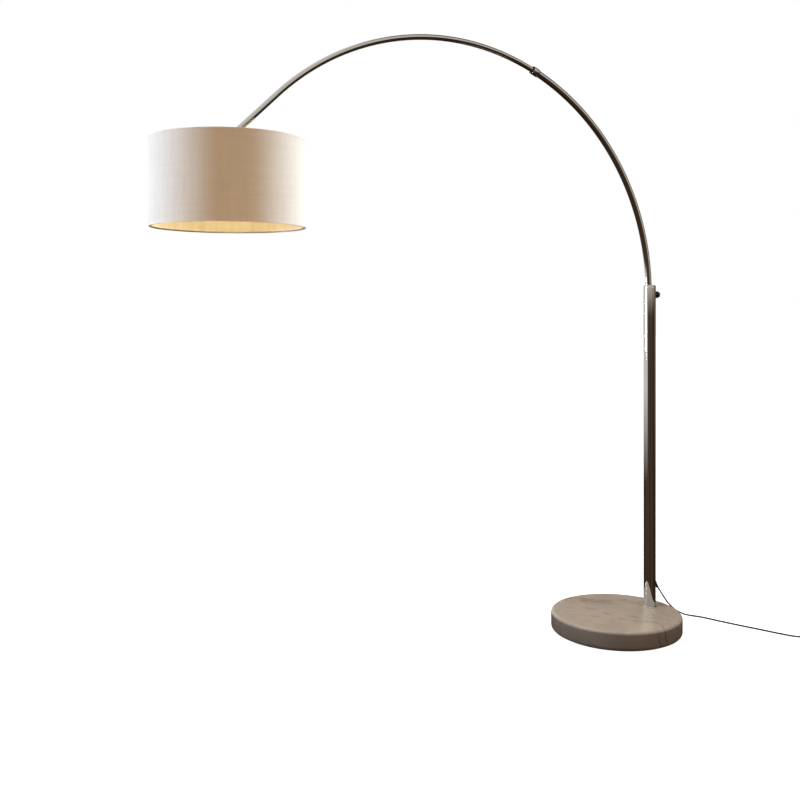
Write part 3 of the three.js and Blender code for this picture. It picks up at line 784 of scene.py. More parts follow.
def needle_felt():
    """Polyester needle felt under the base: matted grey fibres with no gloss."""
    dark, pale = linear("#3A3A39"), linear("#656461")
    material, tree, shader, place = new_material("needle_felt", dark, 0.96)
    shader.inputs["Sheen Weight"].default_value = 0.3
    combed = add_node(tree, "Mapping", "Vector", {"Vector": place, "Scale": (1, 0.3, 1)})
    fibres = add_node(
        tree,
        "TexNoise",
        "Fac",
        {"Vector": combed, "Scale": 1 / 0.0025, "Detail": 4.0, "Distortion": 1.5},
    )
    matted = add_node(tree, "MapRange", 0, {VALUE: fibres, LOW: 0.35, HIGH: 0.7})
    tone = add_node(
        tree, "Mix", MIXED, {SHARE: matted, FIRST: dark, SECOND: pale}, data_type="RGBA"
    )
    tree.links.new(tone, shader.inputs["Base Color"])
    bump = add_node(tree, "Bump", "Normal", {"Height": fibres, "Distance": 0.0004, "Strength": 0.8})
    tree.links.new(bump, shader.inputs["Normal"])
    return material


def matt_paint():
    """Painted studio floor, rolled: white with patches that took the paint a little differently."""
    white, patch = linear("#F6F5F3"), linear("#F1F0ED")
    material, tree, shader, place = new_material("matt_paint", white, 0.9)
    shader.inputs["Emission Color"].default_value = (1, 1, 1, 1)
    shader.inputs["Emission Strength"].default_value = 1.0
    rolled = add_node(tree, "TexNoise", "Fac", {"Vector": place, "Scale": 1 / 1.5})
    tone = add_node(
        tree, "Mix", MIXED, {SHARE: rolled, FIRST: white, SECOND: patch}, data_type="RGBA"
    )
    tree.links.new(tone, shader.inputs["Base Color"])
    return material


FINISHES = {}


def make_finishes(colours):
    """Makes each material once, under the record's name for its slot."""
    black = tuple(colours.black)
    FINISHES.update(
        marble=polished_marble(tuple(colours.marble), tuple(colours.vein)),
        chrome_plate=chrome_plate(),
        zinc_steel=zinc_plate(),
        brass=drawn_brass(),
        nickel_pin=nickel_plate(),
        shade_fabric=woven_cotton(tuple(colours.fabric)),
        shade_lining=styrene_lining(),
        # Spark-eroded grain of 0.1 mm, drawn at 0.8 mm.
        black_plastic=moulded("moulded_abs", black, 0.34, 0.0008),
        black_rubber=moulded("moulded_thermoplastic_rubber", black, 0.62, 0.0012, ior=1.45),
        cord_pvc=moulded("extruded_pvc_sheath", black, 0.42, 0.002, ior=1.54),
        white_nylon=moulded("moulded_nylon", linear("#E4E1D6"), 0.45, 0.001, ior=1.53),
        porcelain=glazed_porcelain(),
        bulb_housing=moulded("moulded_polycarbonate", linear("#EFEDE6"), 0.32, 0.001, ior=1.58),
        opal_globe=opal_glass(tuple(colours.glow), colours.glow_strength),
        pad_felt=needle_felt(),
    )


# ---------------------------------------------------------------- the stage


class ARCLAMP_OT_stage(bpy.types.Operator):
    """Set the camera, the pale floor and the soft studio light"""

    bl_idname = "arc_lamp.stage"
    bl_label = "Stage"

    def execute(self, context):
        scene = context.scene
        scene.view_settings.view_transform = "Standard"

        lens = bpy.data.cameras.new("camera")
        lens.lens, lens.sensor_width, lens.shift_y = CAMERA_LENS, 36, CAMERA_SHIFT
        camera = bpy.data.objects.new("camera", lens)
        camera.location = CAMERA_PLACE
        camera.rotation_euler = (math.radians(90), 0, CAMERA_TURN)
        scene.collection.objects.link(camera)
        scene.camera = camera

        clear_selection()
        bpy.ops.mesh.primitive_circle_add(
            vertices=64, radius=30, fill_type="NGON", location=(0, 0, -0.0004)
        )
        floor = bpy.context.object
        floor.name = floor.data.name = "studio_floor"
        floor.data.materials.append(matt_paint())
        floor.visible_glossy = floor.visible_diffuse = False

        self.lights(scene, camera)
        self.studio_walls(scene)
        return {"FINISHED"}

    def lights(self, scene, camera):
        """Two gridded softboxes beside the shade, and a soft one over the base."""
        middle_of_shade = Vector((KNUCKLE_PIN.x, 0, 1.33))
        softboxes = (
            # name, aimed at, degrees round from the camera, distance, height, size, grid, watts, tint
            ("left_softbox", middle_of_shade, -100, 5.0, 1.33, 1.4, 20, 10.8, "#C5E2FF"),
            ("right_softbox", middle_of_shade, 107.5, 5.0, 1.33, 1.4, 24, 14.5, "#D6ECFF"),
            ("top_softbox", Vector((0, 0.2, 0)), 180, 0.1, 4.2, 3.0, 180, 96, "#FFF9F0"),
        )
        for name, target, round_from, distance, height, size, grid, watts, tint in softboxes:
            light = bpy.data.lights.new(name, "AREA")
            light.shape, light.size = "SQUARE", size
            light.energy, light.color = watts, linear(tint)[:3]
            light.spread = math.radians(grid)
            lamp = bpy.data.objects.new(name, light)
            away = camera.location - target
            a = math.atan2(away.y, away.x) + math.radians(round_from)
            lamp.location = target + distance * Vector((math.cos(a), math.sin(a), 0))
            lamp.location.z = height
            lamp.rotation_euler = (target - lamp.location).to_track_quat("-Z", "Y").to_euler()
            lamp.visible_camera = False
            # The polished tubes mirror the left softbox alone.
            lamp.visible_glossy = name == "left_softbox"
            scene.collection.objects.link(lamp)

    def studio_walls(self, scene):
        """White behind the lamp, and a warm room, pale above, for its metal to mirror."""
        world = bpy.data.worlds.new("studio")
        world.use_nodes = True
        tree = world.node_tree
        direction = add_node(tree, "TexCoord", "Generated")
        height = add_node(tree, "SeparateXYZ", "Z", {0: direction})
        rise = add_node(tree, "MapRange", 0, {VALUE: height, LOW: -1.0, HIGH: 1.0})
        room = add_node(tree, "ValToRGB", "Color", {"Fac": rise})
        stops = (
            (0.0, "#2A1F18"),
            (0.42, "#665344"),
            (0.496, "#6A5747"),
            (0.508, "#F2E9DB"),
            (0.8, "#EFE8DE"),
            (1.0, "#F2EDE6"),
        )
        elements = room.node.color_ramp.elements
        for position, colour in stops[1:-1]:
            elements.new(position).color = linear(colour)
        elements[0].color, elements[-1].color = linear(stops[0][1]), linear(stops[-1][1])
        # Furniture and doorways, seen only as dim upright streaks in the polished metal.
        upright = add_node(tree, "Mapping", "Vector", {"Vector": direction, "Scale": (1, 1, 0.3)})
        clutter = add_node(
            tree, "TexNoise", "Fac", {"Vector": upright, "Scale": 1 / 0.35, "Detail": 3.0}
        )
        streak = add_node(tree, "MapRange", 0, {VALUE: clutter, LOW: 0.36, HIGH: 0.56})
        strongest = add_node(
            tree, "MapRange", 0, {VALUE: height, LOW: 0.05, HIGH: 0.0, START: 0.15, END: 0.85}
        )
        dim = add_node(tree, "Math", 0, {0: streak, 1: strongest}, operation="MULTIPLY")
        mirrored = add_node(
            tree,
            "Mix",
            MIXED,
            {SHARE: dim, FIRST: room, SECOND: linear("#2A1D13")},
            data_type="RGBA",
        )
        # The side walls: the side they are on, how far forward each begins and is whole, and its
        # colour. They fade away below, where the floor would be.
        onward = (-math.sin(CAMERA_TURN), math.cos(CAMERA_TURN), 0)
        right = (math.cos(CAMERA_TURN), math.sin(CAMERA_TURN), 0)
        left = (-right[0], -right[1], 0)
        walls = ((left, -0.68, -0.54, "#EFF1F0"), (right, -0.3, 0.1, "#6E5F53"))
        depth = add_node(
            tree, "VectorMath", "Value", {0: direction, 1: onward}, operation="DOT_PRODUCT"
        )
        above_floor = add_node(tree, "MapRange", 0, {VALUE: height, LOW: -0.17, HIGH: -0.08})
        for sideways, begins, full, colour in walls:
            reach = add_node(
                tree, "VectorMath", "Value", {0: direction, 1: sideways}, operation="DOT_PRODUCT"
            )
            share = above_floor
            for value, low, high in ((reach, 0.02, 0.12), (depth, begins, full)):
                edge = add_node(tree, "MapRange", 0, {VALUE: value, LOW: low, HIGH: high})
                share = add_node(tree, "Math", 0, {0: share, 1: edge}, operation="MULTIPLY")
            mirrored = add_node(
                tree,
                "Mix",
                MIXED,
                {SHARE: share, FIRST: mirrored, SECOND: linear(colour)},
                data_type="RGBA",
            )
        # Cloth and stone take a softer light: dim from below, paler from above.
        upper = add_node(tree, "MapRange", 0, {VALUE: height, LOW: -0.1, HIGH: 0.4})
        colour = add_node(
            tree,
            "Mix",
            MIXED,
            {SHARE: upper, FIRST: linear("#30261F"), SECOND: linear("#86766A")},
            data_type="RGBA",
        )
        for ray, seen in (("Is Glossy Ray", mirrored), ("Is Camera Ray", (1, 1, 1, 1))):
            share = add_node(tree, "LightPath", ray)
            colour = add_node(
                tree, "Mix", MIXED, {SHARE: share, FIRST: colour, SECOND: seen}, data_type="RGBA"
            )
        tree.links.new(colour, tree.nodes["Background"].inputs["Color"])
        scene.world = world


# ---------------------------------------------------------------- the cord and what is on it


def gland_point(distance):
    """A point on the gland's axis, metres out from the pole's face."""
    return GLAND_ORIGIN + distance * Vector(
        (math.cos(GLAND_SLOPE), 0, -math.sin(GLAND_SLOPE))
    )


def switch_point(reach):
    """A point on the cord as it passes through the foot switch, metres from its centre."""
    heading = Vector((math.cos(SWITCH_HEADING), math.sin(SWITCH_HEADING), 0))
    return Vector((SWITCH_CENTRE.x, SWITCH_CENTRE.y, SWITCH_CORD_HEIGHT)) + reach * heading


def plug_point(reach):
    """A point on the plug's axis, metres behind the middle of its body."""
    return PLUG_CENTRE - reach * Vector((math.cos(PLUG_HEADING), math.sin(PLUG_HEADING), 0))


def eased(angle, start, span):
    """0 before the start angle, 1 after the span, and a smooth change between, in degrees."""
    t = min(1.0, max(0.0, (angle - start) / span))
    return (1 - math.cos(math.pi * t)) / 2


def coil_points():
    """Five turns, two side by side and three high: inwards, up, outwards, up, and inwards again.

    Each step comes a little sooner than a whole turn, so that no turn meets its neighbour."""
    outer, inner, layer, bottom = 32.7, 27.5, 5.1, 3.5
    points = []
    angle, step, last = 0.0, 20.0, 1788.0
    while angle < last:
        radius = outer - (outer - inner) * (
            eased(angle, 265, 85) - eased(angle, 895, 85) + eased(angle, 1515, 85)
        )
        height = bottom + layer * (eased(angle, 590, 60) + eased(angle, 1235, 60))
        height += 5.4 * eased(angle, 1722, 62)  # over the outer turns, on the way out
        a = math.radians(angle)
        points.append(
            COIL_CENTRE
            + MM * Vector((radius * math.cos(a), radius * math.sin(a), height))
        )
        angle += step
    return points


def cord_route():
    """The cord's whole run: out of the gland, down to the floor, through the switch, round the coil
    and into the plug."""
    to_switch = (
        (181, 2, 93.5),
        (196, 6, 76),
        (212, 10, 59),
        (228, 13, 44.5),
        (245, 16, 31.5),
        (262, 18.5, 21),
        (278, 19.5, 13),
        (292, 18, 7.5),
        (305, 13.5, 4.2),
        (317, 5, 2.9),
        (328, -9, 2.7),
        (340, -34, 2.7),
        (356, -72, 2.7),
        (376, -116, 2.7),
        (398, -162, 2.7),
        (419, -205, 2.7),
        (438, -244, 2.7),
        (454, -275, 3.2),
    )
    to_coil = (
        (546, -368.5, 3.6),
        (562, -370, 3.2),
        (578, -363.5, 3.2),
        (589, -350, 3.2),
        (592.7, -333, 3.3),
        (592.7, -313.5, 3.5),
    )
    to_plug = (
        (587.6, -294.5, 19.1),
        (589.5, -284, 19.2),
        (592.4, -272, 18.2),
        (596.8, -261.5, 14.8),
        (601.2, -253.2, 10.4),
    )
    return [
        gland_point(0.015),
        gland_point(0.0223),
        gland_point(0.032),
        *[MM * Vector(point) for point in to_switch],
        switch_point(-0.046),
        switch_point(-0.02),
        switch_point(0.02),
        switch_point(0.046),
        *[MM * Vector(point) for point in to_coil],
        *coil_points(),
        *[MM * Vector(point) for point in to_plug],
        plug_point(0.037),
        plug_point(0.026),
    ]


class ARCLAMP_OT_cord(bpy.types.Operator):
    """Lay the mains cord, with its gland, foot switch, coil tie and plug"""

    bl_idname = "arc_lamp.cord"
    bl_label = "Cord, switch and plug"

    def execute(self, context):
        make_finishes(context.scene.arc_lamp_colours)
        diameter = context.scene.arc_lamp_sizes.cord_diameter
        line = bpy.data.curves.new("mains_cord", "CURVE")
        line.dimensions, line.bevel_depth, line.bevel_resolution = "3D", diameter / 2, 5
        line.resolution_u, line.use_fill_caps = 6, True
        route = cord_route()
        spline = line.splines.new("BEZIER")
        spline.bezier_points.add(len(route) - 1)
        for knot, place in zip(spline.bezier_points, route):
            knot.co = place
            knot.handle_left_type = knot.handle_right_type = "AUTO"
        cord = bpy.data.objects.new("mains_cord", line)
        context.scene.collection.objects.link(cord)
        stands_for(
            cord,
            "cord_pvc",
            "power_cord_lamp_side",
            "power_cord_plug_side",
            "cord_coil",
            "power_cord_tail",
        )
        self.gland()
        self.foot_switch()
        self.coil_tie()
        self.plug()
        return {"FINISHED"}

    def gland(self):
        """Strain relief: a collar against the pole and a grooved sleeve that tapers to the cord."""
        rings = [(0, -6), (7, -6), (7, 2.6), (6.5, 3.4), (5.7, 4.2)]
        rings += ribbed(4.6, 20.4, 5.3, 3.7, 5, 0.7)
        rings += [(3.5, 20.6), (3.4, 21.7), (3.0, 22), (0, 22)]
        sleeve = turned("gland_sleeve", rings, 64, edge=0.15 * MM, place=GLAND_PLACE)
        return stands_for(sleeve, "black_rubber", "cord_gland")

    def foot_switch(self):
        """Round foot switch: a dish with a grooved sleeve at each end, a domed cover and a button."""
        dish = turned(
            "switch_dish",
            [(0, 0), (25.6, 0), (27.4, 0.5), (28, 1.8), (28, 8.8), (27.4, 9.4), (0, 9.4)],
            96,
            edge=0,
        )
        for side in (1, -1):
            rings = [(0, 20), (4.5, 20), (4.5, 28)]
            rings += ribbed(28.4, 38.6, 4.4, 3.5, 4, 0.6)
            rings += [(3.3, 39), (3.2, 40), (0, 40)]
            turn = Matrix.Rotation(math.radians(90) * side, 4, "Y")
            lift = Matrix.Translation((0, 0, SWITCH_CORD_HEIGHT))
            sleeve = turned("switch_sleeve", rings, 48, edge=0, place=lift @ turn)
            combined(dish, sleeve, "UNION")
        softened(dish, 0)
        put(dish, SWITCH_PLACE)
        cover_rings = [(28, 9.7), (27.9, 11.5), (27.2, 14.2), (25.8, 16.8), (23.6, 18.9)]
        cover_rings += [(20.8, 20.5), (17.6, 21.7), (14.6, 22.5), (13.9, 22.4), (13.3, 21.8)]
        cover_rings += [(13.2, 14.5), (21, 14.5), (24, 9.7)]
        cover = turned(
            "switch_dome", cover_rings, 96, closed=True, edge=0.15 * MM, place=SWITCH_PLACE
        )
        button_rings = [(0, 12.8), (12.9, 12.8), (12.9, 25), (12.4, 25.9), (11.4, 26.4)]
        for groove in (9.6, 7.2, 4.8):
            top = 27.2 - 0.006 * groove * groove
            button_rings += [(groove + 0.7, top), (groove + 0.4, top - 0.5)]
            button_rings += [(groove - 0.4, top - 0.5), (groove - 0.7, top + 0.08)]
        button_rings += [(1.5, 27.2), (0, 27.2)]
        button = turned(
            "switch_push_button", button_rings, 72, edge=0.12 * MM, place=SWITCH_PLACE
        )
        stands_for(dish, "black_plastic", "switch_base")
        stands_for(cover, "black_plastic", "switch_cover")
        stands_for(button, "black_plastic", "switch_button")
        return dish, cover, button

    def coil_tie(self):
        """Hook-and-loop strap that holds the coil's turns together."""
        angle = math.radians(200)
        radius = 30.1 * MM
        middle = COIL_CENTRE + Vector((radius * math.cos(angle), radius * math.sin(angle), 8.6 * MM))
        clear_selection()
        bpy.ops.mesh.primitive_plane_add(size=1)
        strap = start_piece("coil_strap")
        bpy.ops.transform.resize(value=(10.8 * MM, 15.7 * MM, 1))
        bpy.ops.mesh.bevel(affect="VERTICES", offset=2.6 * MM, segments=5)
        bpy.ops.mesh.select_all(action="SELECT")
        bpy.ops.mesh.delete(type="ONLY_FACE")
        bpy.ops.mesh.select_mode(type="EDGE")
        bpy.ops.mesh.select_all(action="SELECT")
        bpy.ops.transform.translate(value=(0, 0, -4.5 * MM))
        bpy.ops.mesh.extrude_region_move(TRANSFORM_OT_translate={"value": (0, 0, 9 * MM)})
        close_shape()
        modified(strap, "SOLIDIFY", thickness=0.55 * MM, offset=1)
        softened(strap, 0.12 * MM)
        # The strap's own X runs out from the coil's centre, and its Y is up.
        stand_up = Matrix.Rotation(math.radians(90), 4, "X")
        put(strap, Matrix.Translation(middle) @ Matrix.Rotation(angle, 4, "Z") @ stand_up)
        strap.data.materials.append(FINISHES["black_rubber"])
        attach(strap, "stand")
        return strap

    def plug(self):
        """Flat two-pin plug: a bevelled body with a sunk grip on each side, and its pins."""
        body = refined("plug_moulding", "plug_body", 0)
        bpy.ops.object.mode_set(mode="EDIT")
        for side in (1, -1):
            pick_faces(body, lambda co, normal, s=side: normal.z * s > 0.99)
            bpy.ops.mesh.inset(thickness=4.5 * MM)
            bpy.ops.mesh.extrude_region_move(
                TRANSFORM_OT_translate={"value": (0, 0, -0.7 * MM * side)}
            )
        close_shape()
        softened(body, 0.3 * MM)
        stands_for(body, "black_plastic", "plug_body")
        pieces = [body]
        for name, node, side in (
            ("plug_prong_left", "plug_pin_1", 1),
            ("plug_prong_right", "plug_pin_2", -1),
        ):
            rings = [(0, 9.4), (2, 9.4), (2, 33.6), (1.8, 34.8), (1.2, 35.6), (0, 36)]
            place = Matrix.Translation((0, side * PIN_REACH, PLUG_CENTRE.z)) @ ALONG_X
            prong = turned(name, rings, 32, edge=0, place=PLUG_PLACE @ place)
            pieces.append(stands_for(prong, "nickel_pin", node))
        return pieces


# ---------------------------------------------------------------- base and pole


class ARCLAMP_OT_base(bpy.types.Operator):
    """Make the marble disc with its polished edges"""

    bl_idname = "arc_lamp.base"
    bl_label = "Marble base"

    def execute(self, context):
        sizes = context.scene.arc_lamp_sizes
        low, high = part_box("marble_base")
        radius, bottom, top = (high.x - low.x) / 2 / MM, low.z / MM, high.z / MM
        lower, upper = sizes.marble_bottom_edge / MM, sizes.marble_top_edge / MM
        steps = 8
        rings = [(0, bottom)]
        for i in range(steps + 1):
            a = math.radians(-90 + 90 * i / steps)
            rings.append(
                (radius - lower + lower * math.cos(a), bottom + lower + lower * math.sin(a))
            )
        for i in range(steps + 1):
            a = math.radians(90 * i / steps)
            rings.append((radius - upper + upper * math.cos(a), top - upper + upper * math.sin(a)))
        rings.append((0, top))
        disc = turned("marble_disc", rings, 192, edge=0)
        stands_for(disc, "marble", "marble_base")
        return {"FINISHED"}


class ARCLAMP_OT_pole(bpy.types.Operator):
    """Make the chromed pole with its foot ring and its cap"""

    bl_idname = "arc_lamp.pole"
    bl_label = "Pole"

    def execute(self, context):
        foot, top = POLE_LOW.z / MM, POLE_HIGH.z / MM
        # The rings 3 mm in from the ends keep the long wall between them shaded as straight.
        tube = turned(
            "pole_outer_tube",
            [(POLE_RADIUS, z) for z in (foot, foot + 3, top - 3, top)]
            + [(POLE_RADIUS - POLE_WALL, z) for z in (top, foot)],
            128,
            closed=True,
            edge=0.4 * MM,
            place=POLE_PLACE,
        )
        stands_for(tube, "chrome_plate", "pole_tube")
        ring_height = (0, 1.6, 2.5, 3.0, 3.2)
        ring_radius = (21.3, 21.3, 21.0, 20.5, 19.9)
        rings = [(19.3, foot)] + [(r, foot + z) for r, z in zip(ring_radius, ring_height)]
        foot_ring = turned(
            "foot_trim_ring",
            rings + [(19.3, foot + 3.2)],
            128,
            closed=True,
            edge=0,
            place=POLE_PLACE,
        )
        stands_for(foot_ring, "chrome_plate", "pole_foot_ring")
        self.mouth_cap()
        return {"FINISHED"}

    def mouth_cap(self):
        """Chamfered cap with its bore off centre, where the arm's tail comes out of the pole."""
        low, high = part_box("pole_cap")
        bottom, top = low.z / MM, high.z / MM
        rings = [(0, bottom), (POLE_RADIUS, bottom), (POLE_RADIUS, bottom + 1.5)]
        rings += [(16.9, top - 0.3), (16.5, top)]
        cap = turned("pole_mouth_cap", rings + [(0, top)], 128, edge=0, place=POLE_PLACE)
        bore = turned(
            "bore",
            [(0, bottom - 2), (11.1, bottom - 2), (11.1, top + 2), (0, top + 2)],
            96,
            edge=0,
            place=Matrix.Translation(ARM_AXIS),
        )
        combined(cap, bore, "DIFFERENCE")
        softened(cap, 0.25 * MM)
        stands_for(cap, "chrome_plate", "pole_cap")


class ARCLAMP_OT_clamp(bpy.types.Operator):
    """Make the clamp's boss and its fluted knob"""

    bl_idname = "arc_lamp.clamp"
    bl_label = "Arm clamp"

    def execute(self, context):
        boss_rings = [(3.4, 19.3), (6.4, 19.3), (6.4, 19.9), (5.9, 20.3), (3.4, 20.3)]
        boss = turned(
            "clamp_threaded_boss", boss_rings, 64, closed=True, edge=0.1 * MM, place=CLAMP_PLACE
        )
        stands_for(boss, "chrome_plate", "clamp_boss")
        self.knob()
        return {"FINISHED"}

    def knob(self):
        """Knob with eight flutes pressed into its grip, a little narrower at its outer end."""
        start, end = 20.6, 35.5
        rings = [(0, end - 3), (3.3, end - 3), (3.3, start), (8.4, start), (10.2, start + 0.7)]
        rings += [(11, start + 2.2), (11, start + 4.5), (10.7, start + 7), (10.4, end - 3.4)]
        rings += [(10, end - 1.6), (9.2, end - 0.5), (8.2, end), (6.6, end), (6.2, end - 0.6)]
        rings += [(0, end - 0.6)]
        sides, flutes = 96, 8
        knob = turned("clamp_hand_knob", rings, sides, edge=0.12 * MM)
        work_on(knob)
        bpy.ops.object.mode_set(mode="EDIT")
        slice_angle = 2 * math.pi / flutes
        slices = sides // flutes
        for step in range(1, slices // 2 + 1):
            phase = step / slices

            def in_flute(co, phase=phase):
                turn = (math.atan2(co.y, co.x) / slice_angle) % 1.0
                near = min(turn, 1 - turn)
                return abs(near - phase) < 0.5 / slices and co.xy.length > 7.4 * MM

            pick_points(knob, in_flute)
            depth = 0.14 * (1 - math.cos(2 * math.pi * phase)) / 2
            bpy.ops.transform.resize(value=(1 - depth, 1 - depth, 1), center_override=(0, 0, 0))
        bpy.ops.object.mode_set(mode="OBJECT")
        softened(knob, 0)
        put(knob, CLAMP_PLACE)
        stands_for(knob, "black_plastic", "clamp_knob")


# ---------------------------------------------------------------- arm


def arm_tube(name, outer, wall, start, end, tail=0.0, tip=0.0):
    """A chromed tube along the arm: its section is spun round the arc's centre, then given its wall.

    It may have a straight tail before the arc and a straight tip after it, both in metres."""
    clear_selection()
    start_place = on_arc(start) @ Matrix.Translation((0, 0, -tail))
    bpy.ops.mesh.primitive_circle_add(
        vertices=64,
        radius=outer * MM,
        location=start_place.translation,
        rotation=start_place.to_euler(),
    )
    tube = start_piece(name)
    if tail:
        bpy.ops.mesh.extrude_region_move(TRANSFORM_OT_translate={"value": (0, 0, tail)})
    bpy.ops.mesh.spin(
        steps=round((end - start) * 1.6),
        angle=math.radians(end - start),
        center=ARC_CENTRE,
        axis=(0, 1, 0),
    )
    if tip:
        onward = on_arc(end).to_3x3() @ Vector((0, 0, tip))
        bpy.ops.mesh.extrude_region_move(TRANSFORM_OT_translate={"value": onward})
    close_shape()
    put(tube, Matrix())
    modified(tube, "SOLIDIFY", thickness=wall * MM, offset=-1)
    return softened(tube, 0)


class ARCLAMP_OT_arm(bpy.types.Operator):
    """Make the two arc tubes, the collar that joins them and the knuckle at the end"""

    bl_idname = "arc_lamp.arm"
    bl_label = "Arm"

    def execute(self, context):
        tail = ARC_CENTRE.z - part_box("lower_arc_tube")[0].z
        lower = arm_tube("lower_arm_tube", LOWER_RADIUS, LOWER_WALL, 0, COLLAR_ANGLE, tail)
        stands_for(lower, "chrome_plate", "lower_arc_tube")
        upper = arm_tube(
            "upper_arm_tube",
            UPPER_RADIUS,
            UPPER_WALL,
            UPPER_START,
            STRAIGHT_FROM,
            tip=STRAIGHT_LENGTH,
        )
        stands_for(upper, "chrome_plate", "upper_arc_tube")
        collar_rings = [(10.7, -17), (11.1, -17), (11.4, -16.5), (12.05, -12), (12.2, -11)]
        collar_rings += [(12.2, 3.2), (11.9, 3.9), (11.3, 4.4), (9.6, 4.4), (9.6, 0.3), (10.7, 0.3)]
        collar = turned(
            "arm_collar", collar_rings, 96, closed=True, edge=0.15 * MM, place=COLLAR_PLACE
        )
        stands_for(collar, "chrome_plate", "arc_collar")
        bush_rings = [(8.5, 0.6), (9.2, 0.6), (9.2, 4.7), (11.4, 4.7), (11.8, 5.3), (11.9, 6.3)]
        bush_rings += [(11.7, 7.4), (11.2, 8), (8.5, 8)]
        bush = turned(
            "arm_collar_seal", bush_rings, 96, closed=True, edge=0.12 * MM, place=COLLAR_PLACE
        )
        stands_for(bush, "black_rubber", "collar_bush")
        for name, node, finish in (
            ("knuckle_fork_end", "knuckle_fork", "chrome_plate"),
            ("knuckle_tongue_end", "knuckle_tongue", "chrome_plate"),
            ("knuckle_pivot_screw", "knuckle_screw", "zinc_steel"),
            ("knuckle_cap_nut", "knuckle_nut", "zinc_steel"),
        ):
            stands_for(refined(name, node, 0.25 * MM), finish, node)
        return {"FINISHED"}


# ---------------------------------------------------------------- shade


def lay_cloth(piece, middle):
    """Gives the piece a UV map in metres, round the shade and up it."""
    radius = (SHADE_HIGH.x - SHADE_LOW.x) / 2
    layer = piece.data.uv_layers.new(name="cloth")
    for face in piece.data.polygons:
        angles = []
        for corner in face.loop_indices:
            co = piece.data.vertices[piece.data.loops[corner].vertex_index].co
            angles.append(math.atan2(co.y - middle.y, co.x - middle.x))
        if max(angles) - min(angles) > math.pi:
            angles = [a + 2 * math.pi if a < 0 else a for a in angles]
        for corner, a in zip(face.loop_indices, angles):
            co = piece.data.vertices[piece.data.loops[corner].vertex_index].co
            layer.data[corner].uv = (a * radius, co.z)


